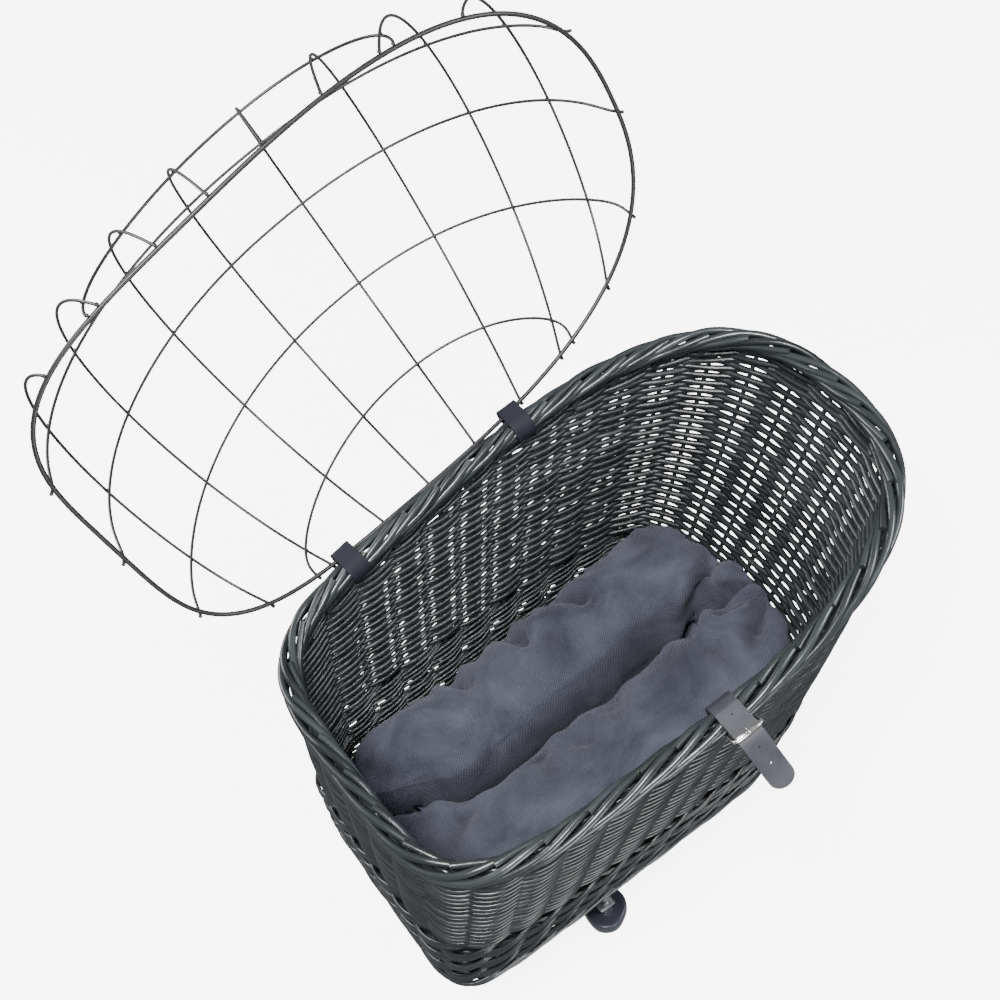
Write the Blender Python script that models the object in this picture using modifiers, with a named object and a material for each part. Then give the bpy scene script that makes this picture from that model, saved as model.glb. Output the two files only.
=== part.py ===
"""Willow bicycle basket for a dog, with a hinged wire dome lid and a loose cushion.

Metres, +Z up, +X toward the high end, +Y toward the hinge side. The origin is on the underside
of the rack bar, where the basket rests on the bicycle's rear rack. The lid stands open.
"""

import math

import bmesh
import bpy
import numpy as np
from mathutils import Matrix, Vector

# Driving dimensions

FIT_GAP = 0.0003            # between pieces that touch
CUT_OVERRUN = 0.004         # how far a cutter runs past the wall it cuts

STAKE_COUNT = 36            # upright stakes, and so flutes of the weave and turns of the border

RIM_STATION_X = 0.042       # the rim's widest station, where its two halves meet
RIM_LOW_REACH = 0.218       # border centre line, from that station to the low end
RIM_HIGH_REACH = 0.3643     # and to the high end
RIM_HALF_WIDTH = 0.1839     # half width at that station
RIM_FLARE_SHARE = 0.122     # how much wider the rim grows toward the high end
RIM_LOW_POWER = 4.34        # superellipse powers: squarish low end, round high end
RIM_HIGH_POWER = 2.58
RIM_LOW_HEIGHT = 0.2783     # border centre above the rack
RIM_HIGH_HEIGHT = 0.3683
RIM_RISE_POWER = 1.03

BASE_CENTRE_X = 0.0195
BASE_HALF_LENGTH = 0.2112   # to the outside of the foot border
BASE_HALF_WIDTH = 0.1395
BASE_POWER = 8.0

BORDER_RADIUS = 0.0118      # rolled border of the rim
BORDER_LOBES = 4
BORDER_GROOVE_SHARE = 0.17
FOOT_RADIUS = 0.0088        # rolled border of the foot
FOOT_LOBES = 3
FOOT_GROOVE_SHARE = 0.16

WALL_THICKNESS = 0.0075
WEAVE_RELIEF = 0.003        # how far the weavers stand out before one stake and in behind the next
WALE_HEIGHT = 0.0485        # of the waling band's middle
WALE_DEPTH = 0.007
WALE_BULGE = 0.0026
WALL_BELLY = 0.004          # outward swell half way up

FLOOR_THICKNESS = 0.009
FLOOR_STICK_WIDTH = 0.011
FLOOR_STICK_HEIGHT = 0.0055

RING_WIRE_RADIUS = 0.0023   # lid ring
LID_WIRE_RADIUS = 0.0015    # lid mesh wires
RING_CLEARANCE = 0.0036     # between the closed ring and the border
RING_SEAT_ANGLE = math.radians(23)
LID_LOW_REACH = 0.2256      # as the rim's reaches, before the ring's offset from the border
LID_HIGH_REACH = 0.3517
LID_HIGH_LIFT = 0.0080      # how much higher the ring lies at the high end, on the border's crown
LID_OPEN_ANGLE = math.radians(101.9)
DOME_HEIGHT = 0.2474
DOME_LOW_POWER = 1.988      # crown line along the lid
DOME_HIGH_POWER = 2.155
DOME_SECTION_POWER = 1.975  # arches across it
LONG_WIRE_OFFSET = 0.1779   # of the outermost long wire at the lid's middle
LONG_WIRE_SHARES = (0.991, 0.624, 0.098, -0.432, -1.0)     # the five, from the hinge side
LONG_WIRE_SPREAD_SHARE = 0.12   # how much wider they lie at the lid's two ends
WIRE_END_OVERHANG = 0.0015
WELD_FADE = 0.007           # height over which a wire comes in from its weld to the dome's skin
END_TURN = 0.02
ARCH_FOOT_SHARES = (0.1066, 0.2176, 0.3242, 0.419, 0.5181, 0.6209, 0.7186, 0.8462)
ARCH_CROWN_SHARES = (0.0435, 0.1449, 0.2865, 0.4343, 0.5931, 0.7504, 0.8842, 0.9694)

LEATHER_THICKNESS = 0.0022
HINGE_STRAP_WIDTH = 0.022
HINGE_ARCHES = (1, 5)       # the arches whose feet stand beside the two hinge straps
HINGE_STRAP_SIDES = (1, -1)     # on the high side of the first and on the low side of the second
HINGE_ARCH_GAP = 0.0035
HINGE_EYE_SLACK = 0.0066    # play of the lid ring in its loose leather loop
HINGE_SHIFTS = (-0.0030, -0.0008)    # from the closed ring at each strap out to the hinge line
HINGE_DROP = 0.005          # and down to it, so that the open ring hangs in its loops
HINGE_RIVET_RADIUS = 0.0035
HINGE_RIVET_HEIGHT = 0.0016
BELT_POINTS = 32

STRAP_X = 0.114             # closing strap
STRAP_WIDTH = 0.025
STRAP_START = math.radians(-62)     # where its fixed end lies, under the border
STRAP_TIP_LENGTH = 0.011    # rounded part of the tail
STRAP_TIP_WIDTH = 0.004
STRAP_HOLE_RADIUS = 0.0018
STRAP_HOLE_SHARES = (0.56, 0.685)   # along the strap
TAIL_REACH = 0.076          # the tail's tip, outward of the border's centre
TAIL_DROP = 0.015           # and below it
TAIL_SHARES = ((0.526, -0.533), (0.684, 0.067), (0.842, 0.60), (1.0, 1.0))  # of reach and drop
BUCKLE_HEEL_REACH = 0.018   # outward of the border's centre
BUCKLE_HEEL_RISE = 0.008    # and above it
BUCKLE_FRONT_REACH = 0.0295
BUCKLE_FRONT_RISE = 0.0178
BUCKLE_LIFT = 0.001          # the roller's clearance over the strap
BUCKLE_WIRE_RADIUS = 0.0016
BUCKLE_SIDE_GAP = 0.0012
BUCKLE_CORNER_RADIUS = 0.003
ROLLER_RADIUS = 0.0025
ROLLER_BORE = 0.0019
PRONG_RADIUS = 0.0011
PRONG_SLOT_LENGTH = 0.0074
PRONG_TIP_ANGLE = math.radians(48)
TAB_SLOT_DEPTH = 0.0058

CUSHION_GAP = 0.003         # to the walls
CUSHION_EDGE_LIFT = 0.0009  # how far its soft lower edge lies above its base at the bolts
CUSHION_LOW_SETBACK = 0.008     # from the border's centre line at the low end
CUSHION_HIGH_SETBACK = 0.102    # and at the high end
CUSHION_TOP_LOW = 0.091     # crown of the lobes above the rack at the low end
CUSHION_TOP_HIGH = 0.190    # and where they climb the high end
CUSHION_RISE_POWER = 2.6
CUSHION_VALLEY_SHARE = 0.40     # depth of the fold between the two lobes
CUSHION_BASE_SHARE = 0.72   # least width of its base beside that of its crown
CUSHION_END_POWER = 7.0
CUSHION_END_SHARE = 0.30
CUSHION_PROFILE_SHARES = (      # across, up, and down into the fold
    (-0.91, 0.0, 0.0), (-0.60, 0.0, 0.0), (0.0, 0.0, 0.0), (0.60, 0.0, 0.0), (0.91, 0.0, 0.0),
    (1.0, 0.09, 0.0), (0.94, 0.36, 0.0), (1.0, 0.60, 0.0), (0.96, 0.84, 0.0), (0.76, 0.98, 0.0),
    (0.50, 1.0, 0.0), (0.25, 0.92, 0.0), (0.0, 0.80, 1.0), (-0.25, 0.92, 0.0), (-0.50, 1.0, 0.0),
    (-0.76, 0.98, 0.0), (-0.96, 0.84, 0.0), (-1.0, 0.60, 0.0), (-0.94, 0.36, 0.0),
    (-1.0, 0.09, 0.0),
)
CUSHION_STATIONS = 15

BOLT_OFFSET = 0.112         # rack bolts, to either side of the middle
BOLT_RADIUS = 0.003
BOLT_REACH = 0.1145         # below the rack face
BOLT_CHAMFER = 0.0008
BOLT_HEAD_RADIUS = 0.0075
BOLT_HEAD_HEIGHT = 0.0035
BAR_THICKNESS = 0.003
BAR_WIDTH = 0.020
RACK_BAR_END = 0.010        # bar beyond each bolt
CLAMP_BAR_END = 0.009
BAR_CORNER_RADIUS = 0.003
PAD_THICKNESS = 0.0016      # rubber under the rack bar, between the bolts
PAD_END_GAP = 0.014         # from each bolt's middle to the pad
PLATE_THICKNESS = 0.002
NUT_FLATS = 0.010
NUT_HEIGHT = 0.005
CLAMP_DROP = 0.085          # rack face to the top of the clamp bar, as it hangs open
KNOB_RADIUS = 0.0245
KNOB_LOBES = 3
KNOB_LOBE_SHARE = 0.09
KNOB_HUB_RADIUS = 0.0075
KNOB_COLLAR = 0.012         # hub between the bar and the disc
KNOB_DISC = 0.017           # depth of the disc's rim
KNOB_DISH = 0.003           # how far its face lies below its rim
KNOB_WEB = 0.004
KNOB_RIM = 0.004
KNOB_STATIONS = 30

WALL_COLUMNS_PER_STAKE = 2
WALL_ROWS = 9               # above the waling band
BORDER_STATIONS_PER_TURN = 12
RING_STATIONS = 78
ARCH_SEGMENTS = 3           # between two crossings
LONG_WIRE_STATIONS = 26
HALVINGS = 30               # of the search for a wire's end


# Scene and collections

for old in list(bpy.data.objects):
    bpy.data.objects.remove(old, do_unlink=True)

parts_collection = bpy.data.collections.new("dog_bicycle_basket")
cutters_collection = bpy.data.collections.new("cutters")
bpy.context.scene.collection.children.link(parts_collection)
bpy.context.scene.collection.children.link(cutters_collection)


def material(name, colour, roughness, metallic=0.0):
    """A Principled material."""
    result = bpy.data.materials.new(name)
    result.use_nodes = True
    shader = result.node_tree.nodes["Principled BSDF"]
    shader.inputs["Base Color"].default_value = (*colour, 1.0)
    shader.inputs["Roughness"].default_value = roughness
    shader.inputs["Metallic"].default_value = metallic
    return result


WILLOW = material("painted_willow", (0.055, 0.062, 0.062), 0.45)
WILLOW_BORDER = material("border_willow", (0.070, 0.078, 0.078), 0.42)
WILLOW_FLOOR = material("floor_willow", (0.045, 0.050, 0.050), 0.55)
LID_PAINT = material("lid_wire_paint", (0.040, 0.043, 0.045), 0.40, 0.3)
HINGE_LEATHER = material("hinge_leather", (0.020, 0.022, 0.028), 0.60)
STRAP_LEATHER = material("strap_leather", (0.105, 0.110, 0.130), 0.62)
NICKEL = material("nickel", (0.78, 0.74, 0.70), 0.22, 1.0)
VELOUR = material("cushion_velour", (0.100, 0.105, 0.130), 0.90)
ZINC = material("zinc_steel", (0.62, 0.64, 0.66), 0.35, 1.0)
KNOB_PLASTIC = material("knob_plastic", (0.060, 0.062, 0.072), 0.35)
RUBBER = material("pad_rubber", (0.020, 0.020, 0.022), 0.80)


# Mesh helpers

def new_object(name, mesh, finish):
    """Wrap a mesh in a linked object, smooth where its faces nearly line up."""
    obj = bpy.data.objects.new(name, mesh)
    parts_collection.objects.link(obj)
    mesh.materials.append(finish)
    mesh.shade_smooth()
    mesh.set_sharp_from_angle(angle=math.radians(40))
    return obj


def mesh_from_bmesh(name, bm):
    """Turn a bmesh into a mesh with its faces pointing out."""
    bmesh.ops.recalc_face_normals(bm, faces=bm.faces)
    mesh = bpy.data.meshes.new(name)
    bm.to_mesh(mesh)
    bm.free()
    return mesh


def loft(name, sections, close_along=False):
    """A closed solid through rings of points: a tube with flat ends, or a ring when closed."""
    bm = bmesh.new()
    rings = [[bm.verts.new(point) for point in section] for section in sections]
    pairs = list(zip(rings, rings[1:]))
    if close_along:
        pairs.append((rings[-1], rings[0]))
    else:
        bm.faces.new(rings[0])
        bm.faces.new(rings[-1])
    for first, second in pairs:
        count = len(first)
        for i in range(count):
            bm.faces.new((first[i], first[(i + 1) % count], second[(i + 1) % count], second[i]))
    return mesh_from_bmesh(name, bm)


def wire_object(name, points, radius, finish, cyclic=False, resolution=1):
    """A round wire along points, as a curve with filled caps."""
    curve = bpy.data.curves.new(name, "CURVE")
    curve.dimensions = "3D"
    curve.bevel_depth = radius
    curve.bevel_resolution = resolution
    curve.use_fill_caps = not cyclic
    spline = curve.splines.new("POLY")
    spline.points.add(len(points) - 1)
    for spot, point in zip(spline.points, points):
        spot.co = (*point, 1.0)
    spline.use_cyclic_u = cyclic
    curve.materials.append(finish)
    obj = bpy.data.objects.new(name, curve)
    parts_collection.objects.link(obj)
    return obj


def outline_object(name, loops, thickness, centre, finish):
    """A flat outline with holes, given a thickness."""
    curve = bpy.data.curves.new(name, "CURVE")
    curve.dimensions = "2D"
    curve.fill_mode = "BOTH"
    curve.extrude = thickness / 2
    for loop in loops:
        spline = curve.splines.new("POLY")
        spline.points.add(len(loop) - 1)
        for spot, (x, y) in zip(spline.points, loop):
            spot.co = (x, y, 0.0, 1.0)
        spline.use_cyclic_u = True
    curve.materials.append(finish)
    obj = bpy.data.objects.new(name, curve)
    parts_collection.objects.link(obj)
    obj.location = centre
    return obj


def box_mesh(name, size, centre):
    """An axis-aligned box."""
    bm = bmesh.new()
    bmesh.ops.create_cube(bm, size=1.0)
    bmesh.ops.scale(bm, vec=Vector(size), verts=bm.verts)
    bmesh.ops.translate(bm, vec=Vector(centre), verts=bm.verts)
    return mesh_from_bmesh(name, bm)


def turned_mesh(name, profile, segments):
    """A solid turned about Z from (radius, height) pairs, with flat ends."""
    rings = []
    for radius, height in profile:
        ring = []
        for k in range(segments):
            angle = 2 * math.pi * k / segments
            ring.append(Vector((radius * math.cos(angle), radius * math.sin(angle), height)))
        rings.append(ring)
    return loft(name, rings)


def circle_loop(radius, centre=(0.0, 0.0), count=20):
    """A circle as points."""
    angles = [2 * math.pi * k / count for k in range(count)]
    return [(centre[0] + radius * math.cos(a), centre[1] + radius * math.sin(a)) for a in angles]


def rounded_rectangle(half_x, half_y, radius, steps=3):
    """A rectangle with round corners as points."""
    loop = []
    for corner, (sx, sy) in enumerate(((1, 1), (-1, 1), (-1, -1), (1, -1))):
        for k in range(steps + 1):
            angle = math.pi / 2 * (corner + k / steps)
            x = sx * (half_x - radius) + radius * math.cos(angle)
            y = sy * (half_y - radius) + radius * math.sin(angle)
            loop.append((x, y))
    return loop


def hang_on(name, place, members):
    """Parent pieces to an empty on their joint's axis, where they stand."""
    empty = bpy.data.objects.new(name, None)
    parts_collection.objects.link(empty)
    empty.location = place
    for member in members:
        member.parent = empty
        member.matrix_parent_inverse = Matrix.Translation(place).inverted()


def cutter(name, mesh, matrix=None):
    """A hidden object that cuts others."""
    obj = bpy.data.objects.new(name, mesh)
    cutters_collection.objects.link(obj)
    obj.hide_render = True
    obj.display_type = "WIRE"
    if matrix is not None:
        obj.matrix_world = matrix
    return obj


def boolean(obj, other, operation="DIFFERENCE"):
    """Cut or join with the exact solver."""
    modifier = obj.modifiers.new(other.name, "BOOLEAN")
    modifier.operation = operation
    modifier.solver = "EXACT"
    modifier.object = other
    return modifier


# Plan curves

def signed_power(value, power):
    """The power of a number's size, with its sign kept."""
    return math.copysign(abs(value) ** power, value)


def plan_point(angle, low_reach, high_reach):
    """A point of the rim's kind of outline in plan, for its two reaches."""
    c, s = math.cos(angle), math.sin(angle)
    reach, power = (high_reach, RIM_HIGH_POWER) if c > 0 else (low_reach, RIM_LOW_POWER)
    x = reach * signed_power(c, 2 / power)
    widening = 1 + RIM_FLARE_SHARE * x / high_reach
    return np.array((RIM_STATION_X + x, RIM_HALF_WIDTH * widening * signed_power(s, 2 / power)))


def rim_point(angle):
    """The border's centre line in plan."""
    return plan_point(angle, RIM_LOW_REACH, RIM_HIGH_REACH)


def base_point(angle):
    """The foot border's outside in plan."""
    x = BASE_HALF_LENGTH * signed_power(math.cos(angle), 2 / BASE_POWER)
    y = BASE_HALF_WIDTH * signed_power(math.sin(angle), 2 / BASE_POWER)
    return np.array((BASE_CENTRE_X + x, y))


def even_loop(plan, count, inset=0.0):
    """Evenly spaced points of a closed plan curve, moved inward by inset, with their outward
    directions."""
    angles = np.linspace(0, 2 * math.pi, 2880, endpoint=False)
    fine = np.array([plan(angle) for angle in angles])
    steps = np.linalg.norm(np.roll(fine, -1, axis=0) - fine, axis=1)
    travelled = np.concatenate(([0.0], np.cumsum(steps)))
    closed = np.vstack((fine, fine[:1]))
    wanted = np.arange(count) / count * travelled[-1]
    points = np.column_stack([np.interp(wanted, travelled, closed[:, k]) for k in (0, 1)])
    reach = travelled[-1] / 360
    ahead = np.column_stack(
        [np.interp((wanted + reach) % travelled[-1], travelled, closed[:, k]) for k in (0, 1)]
    )
    behind = np.column_stack(
        [np.interp((wanted - reach) % travelled[-1], travelled, closed[:, k]) for k in (0, 1)]
    )
    along = ahead - behind
    along /= np.linalg.norm(along, axis=1)[:, None]
    outward = np.column_stack((along[:, 1], -along[:, 0]))
    return points - inset * outward, outward


def rim_height(x):
    """Height of the border's centre line at a place along the basket."""
    share = (x - RIM_STATION_X + RIM_LOW_REACH) / (RIM_LOW_REACH + RIM_HIGH_REACH)
    share = min(max(share, 0.0), 1.0)
    return RIM_LOW_HEIGHT + (RIM_HIGH_HEIGHT - RIM_LOW_HEIGHT) * share ** RIM_RISE_POWER


def rope_ring(name, centres, outward, radius, lobes, groove_share, turns, finish):
    """A ring of twisted rods: a lobed section that turns as it goes round."""
    count = len(centres)
    sections = []
    corners = 3 * lobes
    for i, (centre, out) in enumerate(zip(centres, outward)):
        twist = 2 * math.pi * turns * i / count
        ring = []
        for k in range(corners):
            angle = 2 * math.pi * k / corners
            lobe = 0.5 - 0.5 * math.cos(lobes * (angle + math.pi / corners))
            size = radius * (1 - groove_share * (1 - lobe))
            across = size * math.cos(angle + twist)
            up = size * math.sin(angle + twist)
            ring.append(centre + out * across + Vector((0.0, 0.0, up)))
        sections.append(ring)
    return new_object(name, loft(name, sections, close_along=True), finish)


# Basket body

FOOT_INSET = 0.57 * FOOT_RADIUS
FOOT_TOP = 2 * FOOT_RADIUS
BAR_BASE = PAD_THICKNESS + FIT_GAP
STICK_BASE = BAR_BASE + BAR_THICKNESS + FIT_GAP
FLOOR_BASE = STICK_BASE + FLOOR_STICK_HEIGHT + FIT_GAP
PLATE_BASE = FLOOR_BASE + FLOOR_THICKNESS + FIT_GAP
HEAD_SEAT = PLATE_BASE + PLATE_THICKNESS + FIT_GAP
CUSHION_SEAT = HEAD_SEAT + BOLT_HEAD_HEIGHT + FIT_GAP - CUSHION_EDGE_LIFT


def make_rim_border():
    """The rolled border round the rim."""
    turns = STAKE_COUNT // BORDER_LOBES
    count = turns * BORDER_STATIONS_PER_TURN
    points, outward = even_loop(rim_point, count)
    centres = [Vector((*p, rim_height(p[0]))) for p in points]
    outs = [Vector((*o, 0.0)) for o in outward]
    return rope_ring(
        "rim_border", centres, outs, BORDER_RADIUS, BORDER_LOBES, BORDER_GROOVE_SHARE, turns,
        WILLOW_BORDER,
    )


def make_foot_border():
    """The rolled border round the foot."""
    turns = STAKE_COUNT // FOOT_LOBES
    count = turns * BORDER_STATIONS_PER_TURN // 2
    points, outward = even_loop(base_point, count, inset=FOOT_INSET)
    centres = [Vector((*p, FOOT_RADIUS)) for p in points]
    outs = [Vector((*o, 0.0)) for o in outward]
    return rope_ring(
        "foot_border", centres, outs, FOOT_RADIUS, FOOT_LOBES, FOOT_GROOVE_SHARE, turns,
        WILLOW_BORDER,
    )


def wall_section(share, side, relief, bulge):
    """One closed row of wall points at a height share; side is +1 outside and -1 inside."""
    count = STAKE_COUNT * WALL_COLUMNS_PER_STAKE
    foot, foot_out = even_loop(base_point, count, inset=FOOT_INSET)
    rim, rim_out = even_loop(rim_point, count)
    swell = WALL_BELLY * math.sin(math.pi * share)
    row = []
    for i in range(count):
        low = FOOT_TOP + FIT_GAP
        high = rim_height(rim[i][0]) - BORDER_RADIUS - FIT_GAP
        plan = foot[i] * (1 - share) + rim[i] * share
        out = foot_out[i] * (1 - share) + rim_out[i] * share
        out = out / np.linalg.norm(out)
        wave = relief * math.cos(math.pi * i / WALL_COLUMNS_PER_STAKE)
        move = side * WALL_THICKNESS / 2 + swell + wave + (bulge if side > 0 else 0.0)
        row.append(Vector((*(plan + out * move), low + (high - low) * share)))
    return row


def make_wall():
    """The woven wall: an open shell between the two borders, notched for the straps."""
    middle = (RIM_LOW_HEIGHT + RIM_HIGH_HEIGHT) / 2
    wale = (WALE_HEIGHT - FOOT_TOP) / (middle - BORDER_RADIUS - FOOT_TOP)
    band = WALE_DEPTH / (RIM_HIGH_HEIGHT - FOOT_TOP)
    top = wale + band
    levels = [(0.0, 0.0, 0.0), (wale - band, 0.0, 0.0), (wale, 0.0, WALE_BULGE), (top, 0.0, 0.0)]
    for k in range(1, WALL_ROWS):
        levels.append((top + (1 - top) * k / WALL_ROWS, WEAVE_RELIEF * (-1) ** k, 0.0))
    levels.append((1.0, 0.0, 0.0))
    rows = [wall_section(share, 1, relief, bulge) for share, relief, bulge in levels]
    rows += [wall_section(share, -1, relief, bulge) for share, relief, bulge in reversed(levels)]
    sections = [[row[i] for row in rows] for i in range(len(rows[0]))]
    wall = new_object("wall_weave", loft("wall_weave", sections, close_along=True), WILLOW)
    low, high = hinge_stations()
    boolean(wall, notch_cutter("hinge_strap_low", low, HINGE_STRAP_WIDTH, 1))
    boolean(wall, notch_cutter("hinge_strap_high", high, HINGE_STRAP_WIDTH, 1))
    boolean(wall, notch_cutter("closing_strap", border_station(STRAP_X, -1), STRAP_WIDTH, 2))


def notch_cutter(name, station, width, layers):
    """A box under the border where a strap passes through the weave."""
    depth = layers * (LEATHER_THICKNESS + FIT_GAP) + FIT_GAP
    size = (width + 2 * FIT_GAP, 2 * BORDER_RADIUS, depth + CUT_OVERRUN)
    centre_height = CUT_OVERRUN - BORDER_RADIUS - size[2] / 2
    mesh = box_mesh(f"{name}_notch", size, (0.0, 0.0, centre_height))
    return cutter(f"{name}_notch", mesh, station_frame(station))


def station_frame(station):
    """A frame on the border: X along it, Y outward, Z up."""
    centre, out, along = station
    up = along.cross(out)
    matrix = Matrix((along, out, up)).transposed().to_4x4()
    matrix.translation = centre
    return matrix


def make_floor():
    """The woven floor, bored for the rack bolts."""
    points, _ = even_loop(base_point, 56, inset=FOOT_INSET + FOOT_RADIUS + FIT_GAP)
    loops = [[tuple(point) for point in points]]
    for side in (-1, 1):
        loops.append(circle_loop(BOLT_RADIUS + FIT_GAP, (0.0, side * BOLT_OFFSET)))
    centre = (0.0, 0.0, FLOOR_BASE + FLOOR_THICKNESS / 2)
    outline_object("floor_weave", loops, FLOOR_THICKNESS, centre, WILLOW_FLOOR)


def make_floor_sticks():
    """Three split sticks under the floor's weavers."""
    inset = FOOT_INSET + 2 * FOOT_RADIUS
    spacing = (BASE_HALF_WIDTH - inset) / 2
    for k, name in ((-1, "floor_stick_a"), (0, "floor_stick_b"), (1, "floor_stick_c")):
        size = (2 * (BASE_HALF_LENGTH - inset), FLOOR_STICK_WIDTH, FLOOR_STICK_HEIGHT)
        centre = (BASE_CENTRE_X, k * spacing, STICK_BASE + FLOOR_STICK_HEIGHT / 2)
        new_object(name, box_mesh(name, size, centre), WILLOW_FLOOR)


# Lid

SEAT_REACH = BORDER_RADIUS + RING_WIRE_RADIUS + RING_CLEARANCE
RING_OUT = SEAT_REACH * math.cos(RING_SEAT_ANGLE)
RING_UP = SEAT_REACH * math.sin(RING_SEAT_ANGLE)
WIRE_STEP = LID_WIRE_RADIUS + FIT_GAP / 2
RING_STEP = RING_WIRE_RADIUS + LID_WIRE_RADIUS + 2 * FIT_GAP
RIM_SLOPE = (RIM_HIGH_HEIGHT - RIM_LOW_HEIGHT) / (RIM_LOW_REACH + RIM_HIGH_REACH)


def lid_point(angle):
    """The curve in plan that the lid ring is offset from."""
    return plan_point(angle, LID_LOW_REACH, LID_HIGH_REACH)


def ring_points(count):
    """The closed lid ring's centre line."""
    points, _ = even_loop(lid_point, count, inset=-RING_OUT)
    inner, _ = even_loop(lid_point, count)
    ring = []
    for place, seat in zip(points, inner):
        share = max((seat[0] - RIM_STATION_X) / LID_HIGH_REACH, 0.0)
        height = rim_height(seat[0]) + RING_UP + LID_HIGH_LIFT * share ** 2
        ring.append(Vector((*place, height)))
    return ring


RING_FINE = ring_points(1440)
RING_LOW_X = min(point.x for point in RING_FINE)
RING_HIGH_X = max(point.x for point in RING_FINE)
RING_LENGTH = RING_HIGH_X - RING_LOW_X
RING_SIDE = sorted((point for point in RING_FINE if point.y > 0), key=lambda point: point.x)
RING_SIDE_X = [point.x for point in RING_SIDE]


def ring_half(x):
    """Half width and height of the closed ring at a place along it."""
    width = np.interp(x, RING_SIDE_X, [point.y for point in RING_SIDE])
    height = np.interp(x, RING_SIDE_X, [point.z for point in RING_SIDE])
    return float(width), float(height)


def smooth_table(share, shares):
    """A smooth value between evenly spaced entries, with 0 and 1 at the ends."""
    values = np.array((0.0, *shares, 1.0))
    place = share * (len(values) - 1)
    k = int(min(max(math.floor(place), 0), len(values) - 2))
    t = place - k
    slopes = np.gradient(values)
    ease = 3 * t ** 2 - 2 * t ** 3
    start = t - 2 * t ** 2 + t ** 3
    end = t ** 3 - t ** 2
    return (1 - ease) * values[k] + ease * values[k + 1] + start * slopes[k] + end * slopes[k + 1]


def dome_point(share, angle):
    """A point of the closed dome: share runs over the arches from the low end to the high end,
    and angle from the hinge side's foot (0) over the crown to the other foot (pi)."""
    foot_x = RING_LOW_X + RING_LENGTH * smooth_table(share, ARCH_FOOT_SHARES)
    crown_share = smooth_table(share, ARCH_CROWN_SHARES)
    width, base = ring_half(foot_x)
    along = 2 * crown_share - 1
    power = DOME_LOW_POWER if along < 0 else DOME_HIGH_POWER
    height = DOME_HEIGHT * max(1 - abs(along) ** power, 0.0) ** (1 / power)
    rise = height * abs(math.sin(angle)) ** (2 / DOME_SECTION_POWER)
    y = width * signed_power(math.cos(angle), 2 / DOME_SECTION_POWER)
    lean = RING_LENGTH * crown_share + RING_LOW_X - foot_x
    lean *= rise / height if height > 0 else 0.0
    return Vector((foot_x + lean - RIM_SLOPE * rise, y, base + RIM_SLOPE * lean + rise))


def dome_normal(share, angle):
    """The dome's outward direction."""
    small = 0.01
    low, high = max(share - small, small), min(share + small, 1 - small)
    before, after = max(angle - small, 0.0), min(angle + small, math.pi)
    along = dome_point(high, angle) - dome_point(low, angle)
    over = dome_point(share, after) - dome_point(share, before)
    normal = along.cross(over).normalized()
    middle_height = (RIM_LOW_HEIGHT + RIM_HIGH_HEIGHT) / 2
    if normal.dot(dome_point(share, angle) - Vector((RIM_STATION_X, 0.0, middle_height))) < 0:
        normal.negate()
    return normal


def long_wire_offset(share, wire_share):
    """How far a long wire lies from the lid's middle at an arch's share."""
    along = 2 * smooth_table(share, ARCH_CROWN_SHARES) - 1
    return LONG_WIRE_OFFSET * wire_share * (1 + LONG_WIRE_SPREAD_SHARE * along ** 2)


def room_beside(share, wire_share):
    """How much wider the ring is than a long wire's place there."""
    return dome_point(share, 0.0).y - abs(long_wire_offset(share, wire_share))


def crossing_angle(share, wire_share):
    """Where an arch crosses a long wire: at its foot where the wire ends on the ring."""
    ratio = abs(long_wire_offset(share, wire_share)) / dome_point(share, 0.0).y
    angle = math.acos(min(ratio, 1.0) ** (DOME_SECTION_POWER / 2))
    return angle if wire_share > 0 else math.pi - angle


def long_wire_end(wire_share, end):
    """The share at which a long wire meets the ring, toward the low end (0) or high end (1)."""
    outside, inside = float(end), 0.5
    for _ in range(HALVINGS):
        middle = (outside + inside) / 2
        if room_beside(middle, wire_share) > 0:
            inside = middle
        else:
            outside = middle
    return inside


def weld_step(rise, step):
    """How far a wire lies outside the dome's skin: on the outside of the ring at its foot."""
    near = math.exp(-rise / WELD_FADE)
    return step * (1 - near) + RING_STEP * near


def arch_points(index):
    """One arch, outside the long wires and outside the ring where it is welded on."""
    share = (index + 1) / (len(ARCH_FOOT_SHARES) + 1)
    stops = [0.0, math.pi]
    for wire_share in LONG_WIRE_SHARES:
        if room_beside(share, wire_share) > 0:
            stops.append(crossing_angle(share, wire_share))
    stops.sort()
    angles = [stops[0]]
    for first, second in zip(stops, stops[1:]):
        for k in range(1, ARCH_SEGMENTS + 1):
            angles.append(first + (second - first) * k / ARCH_SEGMENTS)
    points = []
    for angle in angles:
        point = dome_point(share, angle)
        rise = abs(point.z - dome_point(share, 0.0).z)
        inner = min(max(angle, END_TURN), math.pi - END_TURN)
        points.append(point + dome_normal(share, inner) * weld_step(rise, WIRE_STEP))
    down = Vector((0.0, 0.0, -WIRE_END_OVERHANG))
    points[0] = points[0] + down
    points[-1] = points[-1] + down
    return points


def long_wire_points(wire_share):
    """One long wire, inside the arches, with its ends outside the ring."""
    low, high = long_wire_end(wire_share, 0), long_wire_end(wire_share, 1)
    points = []
    for k in range(LONG_WIRE_STATIONS + 1):
        turn = 0.5 - 0.5 * math.cos(math.pi * k / LONG_WIRE_STATIONS)
        share = low + (high - low) * turn
        angle = crossing_angle(share, wire_share)
        point = dome_point(share, angle)
        rise = abs(point.z - dome_point(share, 0.0).z)
        inner = min(max(angle, END_TURN), math.pi - END_TURN)
        points.append(point + dome_normal(share, inner) * weld_step(rise, -WIRE_STEP))
    return points


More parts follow.
